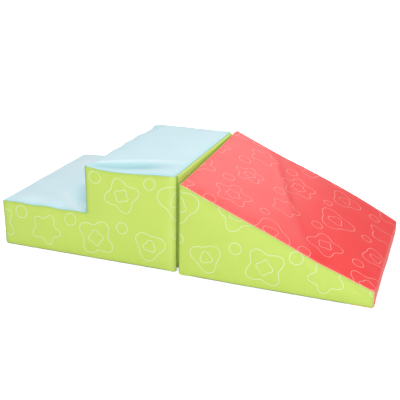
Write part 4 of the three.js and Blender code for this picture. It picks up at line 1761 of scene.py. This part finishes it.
@dataclass
class Zip:
    """The zip on a block's cut-off lower back edge: tapes, teeth, stops, slider and pull.

    Attributes:
        inset: how far its tapes stay from the edges of the cut.
        channel: half of the gap between the rows of teeth.
        tucked: how far its ends are tucked under the cover.
    """

    name: str
    body: str
    form: BlockForm
    inset: float = 0.3 * MM
    channel: float = 0.7 * MM
    tooth_length: float = 3.2 * MM
    tooth_height: float = 1.6 * MM
    tooth_width: float = 1.9 * MM
    tooth_sunk: float = 0.4 * MM
    clearance: float = 0.3 * MM
    cord: float = 1.1 * MM
    bevel: float = 0.25 * MM
    tape_rows: int = 60
    tape_runs: int = 7
    tucked: float = 0.5 * MM

    def frame(self) -> Matrix:
        """The zip's own frame.

        Returns:
            x across the chain, y along it and z outwards.
        """
        side = self.form.direction
        middle = Vector((self.form.back_x + side * ZIP_CUT / 2, 0, ZIP_CUT / 2))
        return Matrix.Translation(middle) @ Matrix.Rotation(-side * 0.75 * math.pi, 4, "Y")

    def build(self) -> None:
        """Makes and dresses every piece of the zip."""
        edge = math.hypot(ZIP_CUT, ZIP_CUT)
        for part, start, end in (
            ("upper", self.inset, edge / 2 - TAPE_SLOT), ("lower", edge / 2 + TAPE_SLOT, edge - self.inset),
        ):
            tape = self.tape(part, start, end)
            stand_in(tape, self.body, f"{self.name}_zip_tape_{part}")
            end - start
        for part, side in (("upper", 1), ("lower", -1)):
            row = self.teeth(part, side * self.form.direction)
            stand_in(row, self.body, f"{self.name}_zip_teeth_{part}")
        for part, body in (
            ("stop_near", self.body), ("stop_far", self.body),
            ("slider", f"{self.name}_slider"), ("pull", f"{self.name}_pull"),
        ):
            stand_in(self.metal(f"{self.name}_zip_{part}"), body, f"{self.name}_zip_{part}")
        log.info("%s zip: tapes, teeth, stops, slider and pull", self.name)

    def tape(self, part: str, start: float, end: float) -> Item:
        """One half of the woven tape.

        Args:
            part: upper or lower.
            start: where it begins, as a distance down the cut-off edge.
            end: where it ends.

        Returns:
            The piece.
        """
        last = self.form.half - END_CAP + self.tucked
        rows = np.linspace(-last, last, self.tape_rows + 1)
        runs = np.linspace(start, end, self.tape_runs)
        across, deep = (grid.ravel() for grid in np.meshgrid(rows, runs / math.sqrt(2), indexing="ij"))
        points = self.form.place(np.stack([deep, across, ZIP_CUT - deep], axis=1))
        cells = grid_cells(len(rows), len(runs), turned=self.form.direction > 0)
        item = new_mesh(f"{self.name}_zip_tape_{part}_cloth", points, cells)
        thicken(item, TAPE)
        dress(item, TAPE_CLOTH)
        return item

    def teeth(self, part: str, side: int) -> Item:
        """One row of moulded teeth on its cord.

        Args:
            part: upper or lower.
            side: which side of the chain it stands on, 1 or -1.

        Returns:
            The piece.
        """
        count = math.floor(2 * (self.form.half - ZIP_END) / TOOTH_PITCH)
        first = side * (-count / 2 * TOOTH_PITCH + TOOTH_PITCH / 4 + TOOTH_PITCH / 2)
        last = first + side * (count - 1) * TOOTH_PITCH
        height = self.clearance + self.tooth_height / 2
        length = self.tooth_length - self.cord + self.tooth_sunk
        tip = side * (self.channel + length / 2)
        rim = side * (self.channel + self.tooth_length - self.cord / 2)
        frame = self.frame()
        way_out = frame.to_3x3() @ Vector((0, 0, 1))
        size = (self.tooth_height, length, self.tooth_width)
        repeat = Repeat(Form.TOOTH, size, TOOTH_PITCH * 0.999, tuple(way_out), TEETH)
        line = [frame @ Vector((tip, y, height)) for y in (first, last)]
        item = repeat.along(f"{self.name}_teeth_{part}_row", [np.array(line)])
        join(item, self.cord_mesh([frame @ Vector((rim, y, height)) for y in np.linspace(first, last, 40)]))
        dress(item, TEETH)
        return item

    def cord_mesh(self, path: Sequence[Vector]) -> Item:
        """The cord that the teeth are moulded on.

        Args:
            path: the points of its middle line.

        Returns:
            The cord, as a plain mesh.
        """
        curve = bpy.data.curves.new("cord", "CURVE")
        curve.dimensions = "3D"
        curve.bevel_depth, curve.bevel_resolution, curve.use_fill_caps = self.cord / 2, 3, True
        spline = curve.splines.new("POLY")
        spline.points.add(len(path) - 1)
        for point, spot in zip(spline.points, path):
            point.co = (*spot, 1)
        item = linked("cord", curve)
        mesh = as_shown(item)
        bpy.data.objects.remove(item)
        return linked("cord_mesh", mesh)

    def metal(self, node: str) -> Item:
        """A cast metal piece: the solid's shape with its edges broken.

        Args:
            node: the solid's node.

        Returns:
            The piece.
        """
        work = bmesh.new()
        work.from_mesh(frame["nodes"][node].data)
        work.transform(frame["nodes"][node].matrix_world)
        bmesh.ops.remove_doubles(work, verts=work.verts, dist=0.01 * MM)
        bmesh.ops.dissolve_limit(work, angle_limit=math.radians(3), verts=work.verts, edges=work.edges)
        mesh = bpy.data.meshes.new(node)
        work.to_mesh(mesh)
        work.free()
        item = linked(node.replace("_zip", "") + "_cast", mesh)
        edge = item.modifiers.new("edge", "BEVEL")
        edge.width, edge.segments, edge.angle_limit = self.bevel, 3, math.radians(40)
        edge.use_clamp_overlap = True
        as_plain_mesh(item)
        item.data.shade_smooth()
        dress(item, METAL)
        return item


@dataclass
class Block:
    """One stuffed block of the climber: foam, cover, base, tape strips and zip.

    Attributes:
        stitch_up: which way a stitch's first direction points.
        dot_rise: how far the base cloth stands off the floor.
    """

    name: str
    body: str
    form: BlockForm
    strip_node: str
    thread: Finish
    stitches_name: str
    cloth: CoverCloth = field(default_factory=CoverCloth)
    stitch: Triple = (0.5 * MM, 0.5 * MM, 3.2 * MM)
    stitch_pitch: float = 4.2 * MM
    stitch_up: Triple = (0.31, 0.52, 0.79)
    stitch_proud: float = 0.2
    seam_step: float = 5 * MM
    seam_ends: tuple[float, float] = (0.004, 0.996)
    dot: Triple = (0.8 * MM, 3 * MM, 3 * MM)
    dot_pitch: float = 12 * MM
    dot_inset: float = 12 * MM
    dot_margin: float = 14 * MM
    dot_rise: float = 0.4 * MM
    strip_size: tuple[float, float] = (40 * MM, 170 * MM)
    strip_middle: float = 130 * MM
    strip_spacing: float = 250 * MM
    strip_corner: float = 6 * MM
    strip_backing: float = 0.7 * MM
    strip_gap: float = 0.3 * MM
    strip_points: tuple[int, int] = (13, 45)
    loop: Triple = (0.5 * MM, 0.5 * MM, 0.85 * MM)
    loop_spacing: float = 2 * MM
    core_depth: float = 2.1 * MM
    core_cut: float = 24 * MM
    core_fill: float = 0.95

    def build(self) -> None:
        """Makes and dresses every piece of the block."""
        self.maker = PanelMaker(self.form, self.form.lattice(), self.cloth.drift(self.form, self.held))
        cores = self.cores()
        for panel in (self.band_panel(), *self.tread_panels(), self.base_panel()):
            item = self.maker.make(panel)
            dress(item, panel.finish)
            stand_in(item, self.body, panel.node)
            log.info("%s: %d faces", item.name, len(item.data.polygons))
        self.stitches()
        self.dots()
        for place, side in (("near", -1), ("far", 1)):
            self.strip(f"{self.name}_{self.strip_node}_{place}", side)
        Zip(self.name, self.body, self.form).build()

    def tread_panels(self) -> list[Panel]:
        """The cut pieces of the cover between its side band and its base."""
        raise NotImplementedError

    def rim(self) -> list[tuple[float, float]]:
        """Depth and height of the corners of the sewn line on either side."""
        raise NotImplementedError

    def cores(self) -> list[str]:
        """Makes the foam and gives the names of its pieces."""
        raise NotImplementedError

    def band_panel(self) -> Panel:
        """The side band: near side, back and far side in one, with what it wraps over the top.

        Returns:
            The cut piece.
        """
        form, wide = self.form, 2 * self.form.half
        return Panel(
            f"{self.name}_side_band", LIME, "lime_cover", (2 * form.length + wide, form.high + form.wrap),
            2 * form.side_area() + wide * (form.high - ZIP_CUT + form.wrap),
            lambda s: s.on(Side.BACK, Side.NEAR, Side.FAR) | self.zip_end(s)
            | (s.on(Side.TOP) & s.between(0.0, form.wrap)),
            self.spread_round,
        )

    def base_panel(self) -> Panel:
        """The non-slip cloth underneath, from the zip to its seam with the cover.

        Returns:
            The cut piece.
        """
        last = self.form.base_end()
        flat = (2 * self.form.half, last - ZIP_CUT)
        return Panel(
            f"{self.name}_base_panel", BASE_CLOTH, "base_cloth", flat, math.prod(flat),
            lambda s: s.on(Side.UNDER) & s.between(ZIP_CUT, last), lambda p, sides: p[:, :2],
            unevenness=0.0, lift=self.dot_rise,
        )

    def spread_round(self, sharp: Array, sides: Array) -> Array:
        """Lays the side band out flat: near side, back and far side in one length.

        Args:
            sharp: places on the sharp block.
            sides: their side numbers.

        Returns:
            Two cloth coordinates for each place.
        """
        b, y, z = sharp.T
        along = np.where(is_side(sides, Side.NEAR), -b, y + self.form.half)
        along = np.where(is_side(sides, Side.FAR), 2 * self.form.half + b, along)
        return np.stack([along, z + np.where(is_side(sides, Side.TOP), b, 0)], axis=1)

    def held(self, skin: Skin) -> Array:
        """Which corners of a skin stay where they are: seams, back and base.

        Args:
            skin: the skin.

        Returns:
            1 for each corner that is held and 0 for the others.
        """
        touched = np.zeros((len(skin.sharp), len(Side)), bool)
        for number in range(len(Side)):
            touched[np.unique(skin.quads[skin.sides == number]), number] = True
        rests = touched[:, is_side(np.arange(len(Side)), Side.BACK, Side.UNDER)].any(axis=1)
        return ((touched.sum(axis=1) > 1) | rests).astype(float)

    def zip_end(self, skin: Skin) -> Array:
        """Which faces of a skin close the cut-off edge beyond the zip."""
        beyond = abs(skin.middles[:, 1]) > self.form.half - END_CAP
        return skin.on(Side.UNDER) & skin.between(0.0, ZIP_CUT) & beyond

    def core(self, node: str, form: BlockForm, skin: Skin) -> str:
        """One cut block of foam.

        Args:
            node: the solid that it stands for.
            form: its shape.
            skin: its skin.

        Returns:
            The piece's name.
        """
        points = form.place(skin.sharp, SEAM_RADIUS - self.core_depth)
        item = new_mesh(node + "_core", points, skin.quads)
        dress(item, FOAM)
        stand_in(item, self.body, node)
        return item.name

    def on_cover(self, sharp: Array, lift: float) -> Array:
        """Moves places on to the cover.

        Args:
            sharp: places on the sharp block.
            lift: how far they are raised off the cover.

        Returns:
            The moved places.
        """
        outer = self.form.place(sharp)
        away = unit(outer - self.form.place(sharp, SEAM_RADIUS - COVER))
        return outer + self.maker.drift(outer) + away * lift

    def stitches(self) -> None:
        """The thread that shows in the seams: along the rim on either side, and across its start."""
        rim, half = self.rim(), self.form.half
        seams = [
            ((start[0], y, start[1]), (end[0], y, end[1]))
            for y in (-half, half) for start, end in zip(rim, rim[1:])
        ]
        seams.append(((rim[0][0], -half, rim[0][1]), (rim[0][0], half, rim[0][1])))
        lines = []
        for start, end in np.array(seams):
            count = max(8, round(np.linalg.norm(end - start) / self.seam_step))
            sharp = start + (end - start) * np.linspace(*self.seam_ends, count)[:, None]
            lines.append(self.on_cover(sharp, -self.maker.groove + self.stitch[0] * self.stitch_proud))
        repeat = Repeat(Form.STITCH, self.stitch, self.stitch_pitch, self.stitch_up, self.thread, seed=3)
        item = repeat.along(f"{self.name}_{self.stitches_name}", lines)
        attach(item, self.body)
        log.info("%s: %d faces", item.name, len(item.data.polygons))

    def dots(self) -> None:
        """The rubber dots under the base cloth."""
        start, end = ZIP_CUT + self.dot_inset, self.form.base_end() - self.dot_inset
        last = self.form.half - self.dot_margin
        lines = []
        for number, y in enumerate(np.arange(-last, last + 1 * MM, self.dot_pitch)):
            first = start + (number % 2) * self.dot_pitch / 2
            line = self.form.place(np.array([[first, y, 0.0], [end, y, 0.0]]))
            line[:, 2] = self.dot[0] / 2
            lines.append(line)
        repeat = Repeat(Form.DOT, self.dot, self.dot_pitch, (0, 0, -1), DOTS)
        item = repeat.along(f"{self.name}_base_dots", lines)
        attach(item, self.body)

    def strip(self, node: str, side: int) -> None:
        """A strip of hook or loop tape on the block's back: backing and pile.

        Args:
            node: the solid that it stands for.
            side: 1 for the far strip and -1 for the near one.
        """
        wide, high = (size / 2 for size in self.strip_size)
        lines = [np.linspace(-end, end, count) for end, count in zip((wide, high), self.strip_points)]
        u, v = (grid.ravel() for grid in np.meshgrid(*lines, indexing="ij"))
        wide, high = wide - self.strip_corner, high - self.strip_corner
        over_u, over_v = pulled_in(abs(u) - wide, abs(v) - high)
        u, v = np.sign(u) * (wide + over_u), np.sign(v) * (high + over_v)
        out = -self.form.direction
        foot = self.form.back_x + out * (self.strip_gap + self.strip_backing)
        points = np.stack([0 * u + foot, side * self.strip_spacing / 2 + u, self.strip_middle + v], axis=1)
        cells = grid_cells(*self.strip_points, turned=out < 0)
        backing = new_mesh(f"{node}_backing", points, cells)
        thicken(backing, self.strip_backing)
        dress(backing, PILE)
        repeat = Repeat(Form.LOOP, self.loop, self.loop_spacing, (0, 0, 1), PILE, seed=5 + side)
        pile = repeat.apply(f"{node}_pile", points, [], cells)
        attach(pile, self.body)
        stand_in(backing, self.body, node)


@dataclass
class StepBlock(Block):
    """The two-step block: plain sky treads and lime sides."""

    name: str = "step"
    body: str = "steps"
    form: StepForm = field(default_factory=StepForm)
    strip_node: str = "loop_strip"
    thread: Finish = THREAD_DARK
    stitches_name: str = "dark_stitches"
    seat_gap: float = 0.3 * MM
    low_folds: tuple[Fold, ...] = (
        Fold((388 * MM, -112 * MM), (262 * MM, -236 * MM), 14 * MM, 2.4 * MM, steep=1.6),
        Fold((345 * MM, -40 * MM), (276 * MM, -176 * MM), 26 * MM, -3.4 * MM),
        Fold((470 * MM, 150 * MM), (300 * MM, 60 * MM), 40 * MM, 1.6 * MM),
        Fold((490 * MM, -190 * MM), (360 * MM, -190 * MM), 22 * MM, 0.9 * MM),
    )

    def tread_panels(self) -> list[Panel]:
        """The lower and the upper tread, each with the upright below it.

        Returns:
            The two cut pieces.
        """
        form, edge = self.form, self.form.tread + LEAST_STEP / 2
        low, top = form.low + form.length - form.tread, form.high - form.low + form.tread - form.wrap
        return [
            self.tread_panel("low", (edge, math.inf), form.length, low, 1.6 * MM, self.low_folds),
            self.tread_panel("top", (form.wrap, edge), form.tread, top, 1.1 * MM),
        ]

    def tread_panel(
        self, name: str, depths: tuple[float, float], front: float, length: float, unevenness: float,
        folds: tuple[Fold, ...] = (),
    ) -> Panel:
        """A tread and the upright below it.

        Args:
            name: low or top.
            depths: between what depths its faces lie.
            front: how far forward the upright stands.
            length: the length of the flat cut.
            unevenness: how far its broad face wanders.
            folds: its ridges and hollows.

        Returns:
            The cut piece.
        """
        wide = 2 * self.form.half
        return Panel(
            f"step_{name}_tread_panel", SKY, "sky_cover", (wide, length), wide * length,
            lambda s: s.on(Side.FRONT, Side.TOP) & s.between(*depths),
            lambda p, sides: np.stack([p[:, 1], front - p[:, 0] + p[:, 2]], axis=1), folds, unevenness,
        )

    def rim(self) -> list[tuple[float, float]]:
        """Depth and height of the corners of the seam beside the treads."""
        form = self.form
        return [(form.wrap, form.high), *form.upper()[1:], (form.length, 0)]

    def cores(self) -> list[str]:
        """The lower slab and the upper block on its back half.

        Returns:
            The names of the two pieces.
        """
        form, cut = self.form, self.core_cut
        slab = replace(form, cut=cut, outline=[
            (0, cut), (0, form.low), (form.length, form.low), (form.length, 0), (cut, 0),
        ])
        seat = form.low - self.core_depth + self.seat_gap
        below = seat - 2 * SEAM_RADIUS
        top = replace(form, cut=0.0, outline=[
            (0, below), (0, form.high), (form.tread, form.high), (form.tread, below),
        ])
        low = slab.lattice(CORE_PITCH, heights=(0.0, form.low))
        high = top.lattice(CORE_PITCH, heights=(seat, form.high), last=form.tread)
        return [self.core("step_foam_slab", slab, low), self.core("step_foam_top", top, high)]


@dataclass
class RampBlock(Block):
    """The wedge ramp: a coral slope and lime sides."""

    name: str = "ramp"
    body: str = "ramp"
    form: RampForm = field(default_factory=RampForm)
    strip_node: str = "hook_strip"
    thread: Finish = THREAD_LIGHT
    stitches_name: str = "light_stitches"
    slope_folds: tuple[Fold, ...] = (
        Fold((132 * MM, 190 * MM), (246 * MM, -80 * MM), 13 * MM, 1.3 * MM),
        Fold((152 * MM, 185 * MM), (264 * MM, -75 * MM), 10 * MM, -3.0 * MM),
        Fold((330 * MM, 190 * MM), (360 * MM, 60 * MM), 22 * MM, -1.2 * MM),
    )

    def tread_panels(self) -> list[Panel]:
        """The slope with its toe, turned under to the base.

        Returns:
            The one cut piece.
        """
        form, wide = self.form, 2 * self.form.half
        length = form.under + form.toe + form.slope_length()
        return [Panel(
            "ramp_slope_panel", CORAL, "coral_cover", (wide, length), wide * length,
            lambda s: s.on(Side.FRONT, Side.TOP) | (s.on(Side.UNDER) & s.between(form.base_end())),
            self.spread_slope, folds=self.slope_folds, unevenness=1.0 * MM,
        )]

    def spread_slope(self, sharp: Array, sides: Array) -> Array:
        """Lays the slope out flat, from its seam under the toe to the ridge.

        Args:
            sharp: places on the sharp block.
            sides: their side numbers.

        Returns:
            Two cloth coordinates for each place.
        """
        form = self.form
        b, y, z = sharp.T
        up = form.toe + (form.length - b) * form.slope_length() / form.length
        length = np.where(is_side(sides, Side.TOP), up, z)
        return np.stack([y, np.where(is_side(sides, Side.UNDER), b - form.length, length)], axis=1)

    def rim(self) -> list[tuple[float, float]]:
        """Depth and height of the corners of the seam round the slope."""
        return [*self.form.upper(), (self.form.length, 0)]

    def cores(self) -> list[str]:
        """The foam wedge.

        Returns:
            The name of the piece.
        """
        wedge = replace(self.form, cut=self.core_cut, outline=[])
        return [self.core("ramp_foam", wedge, wedge.lattice(CORE_PITCH))]


@dataclass
class Lamp:
    """A soft box that points at the climber."""

    name: str
    place: Triple
    size: float
    watts: float
    target: Triple = (0.0, 0.0, 0.12)

    def build(self) -> None:
        """Adds the lamp."""
        data = bpy.data.lights.new(self.name, "AREA")
        data.size, data.energy = self.size, self.watts
        item = linked(self.name, data)
        item.location = self.place
        aim = Vector(self.target) - Vector(self.place)
        item.rotation_euler = aim.to_track_quat("-Z", "Y").to_euler()


@dataclass
class Studio:
    """The floor, the light and the camera.

    Attributes:
        yaw: how far it looks to the left of +Y, in degrees.
        floor_glow: how much whiter the camera sees the floor than the light makes it.
    """

    camera_place: Triple = (0.60836, -1.7833, 0.82048)
    yaw: float = 19.27245
    pitch: float = 20.41179
    roll: float = 0.93403
    lens: float = 64.84
    sky: float = 0.45
    floor_color: float = 0.85
    floor_glow: float = 0.72
    floor_size: float = 14.0
    floor_drop: float = 0.2 * MM
    lamps: tuple[Lamp, ...] = (
        Lamp("overhead", (-0.3, 0.0, 2.6), 2.4, 35.0),
        Lamp("front", (0.6, -2.75, 1.2), 1.8, 30.5),
        Lamp("right", (2.6, -0.8, 1.3), 1.8, 16.0),
        Lamp("behind", (0.1, 2.4, 1.55), 1.2, 8.0),
    )

    def build(self) -> None:
        """Sets the studio up."""
        self.add_camera()
        self.add_floor()
        self.light_world()
        for lamp in self.lamps:
            lamp.build()
        bpy.context.scene.view_settings.view_transform = "Standard"

    def add_camera(self) -> None:
        """Puts the camera at the photograph's place."""
        yaw, pitch, roll = (math.radians(a) for a in (self.yaw, self.pitch, self.roll))
        level = Vector((math.cos(yaw), math.sin(yaw), 0))
        forward = Vector((-level.y * math.cos(pitch), level.x * math.cos(pitch), -math.sin(pitch)))
        upright = level.cross(forward)
        right = math.cos(roll) * level + math.sin(roll) * upright
        up = math.cos(roll) * upright - math.sin(roll) * level
        data = bpy.data.cameras.new("camera")
        data.lens, data.sensor_width, data.sensor_fit = self.lens, 36.0, "HORIZONTAL"
        item = linked("camera", data)
        turn = Matrix((right, up, -forward)).transposed()
        item.matrix_world = Matrix.Translation(self.camera_place) @ turn.to_4x4()
        bpy.context.scene.camera = item

    def add_floor(self) -> None:
        """Lays the pale floor, slightly under the bases."""
        half = self.floor_size / 2
        rim = ((-half, -half), (half, -half), (half, half), (-half, half))
        floor = new_mesh("studio_floor", [(x, y, -self.floor_drop) for x, y in rim], [range(4)], soft=False)
        made = bpy.data.materials.new("studio_floor")
        made.use_nodes = True
        net = Net(made.node_tree)
        net.tree.nodes.clear()
        pale = net.wire("ShaderNodeBsdfDiffuse", 0, {"Color": (*[self.floor_color] * 3, 1)})
        seen = net.wire("ShaderNodeLightPath", "Is Camera Ray")
        glow = net.wire("ShaderNodeEmission", 0, {"Color": (1, 1, 1, 1), "Strength": seen * self.floor_glow})
        net.node("ShaderNodeOutputMaterial", {0: net.wire("ShaderNodeAddShader", 0, {0: pale, 1: glow})})
        floor.data.materials.append(made)

    def light_world(self) -> None:
        """Even light from all round, and white where the camera looks past the floor."""
        world = bpy.context.scene.world = bpy.data.worlds.new("studio")
        world.use_nodes = True
        net = Net(world.node_tree)
        net.tree.nodes.clear()
        strength = net.wire("ShaderNodeLightPath", "Is Camera Ray") * (1.0 - self.sky) + self.sky
        glow = net.wire("ShaderNodeBackground", 0, {"Color": (1, 1, 1, 1), "Strength": strength})
        net.node("ShaderNodeOutputWorld", {"Surface": glow})


def main() -> None:
    """Builds the climber and its studio."""
    logging.basicConfig(level=logging.INFO, format="%(message)s")
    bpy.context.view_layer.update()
    Studio().build()
    for block in (StepBlock(), RampBlock()):
        block.build()


if __name__ == "__main__":
    main()
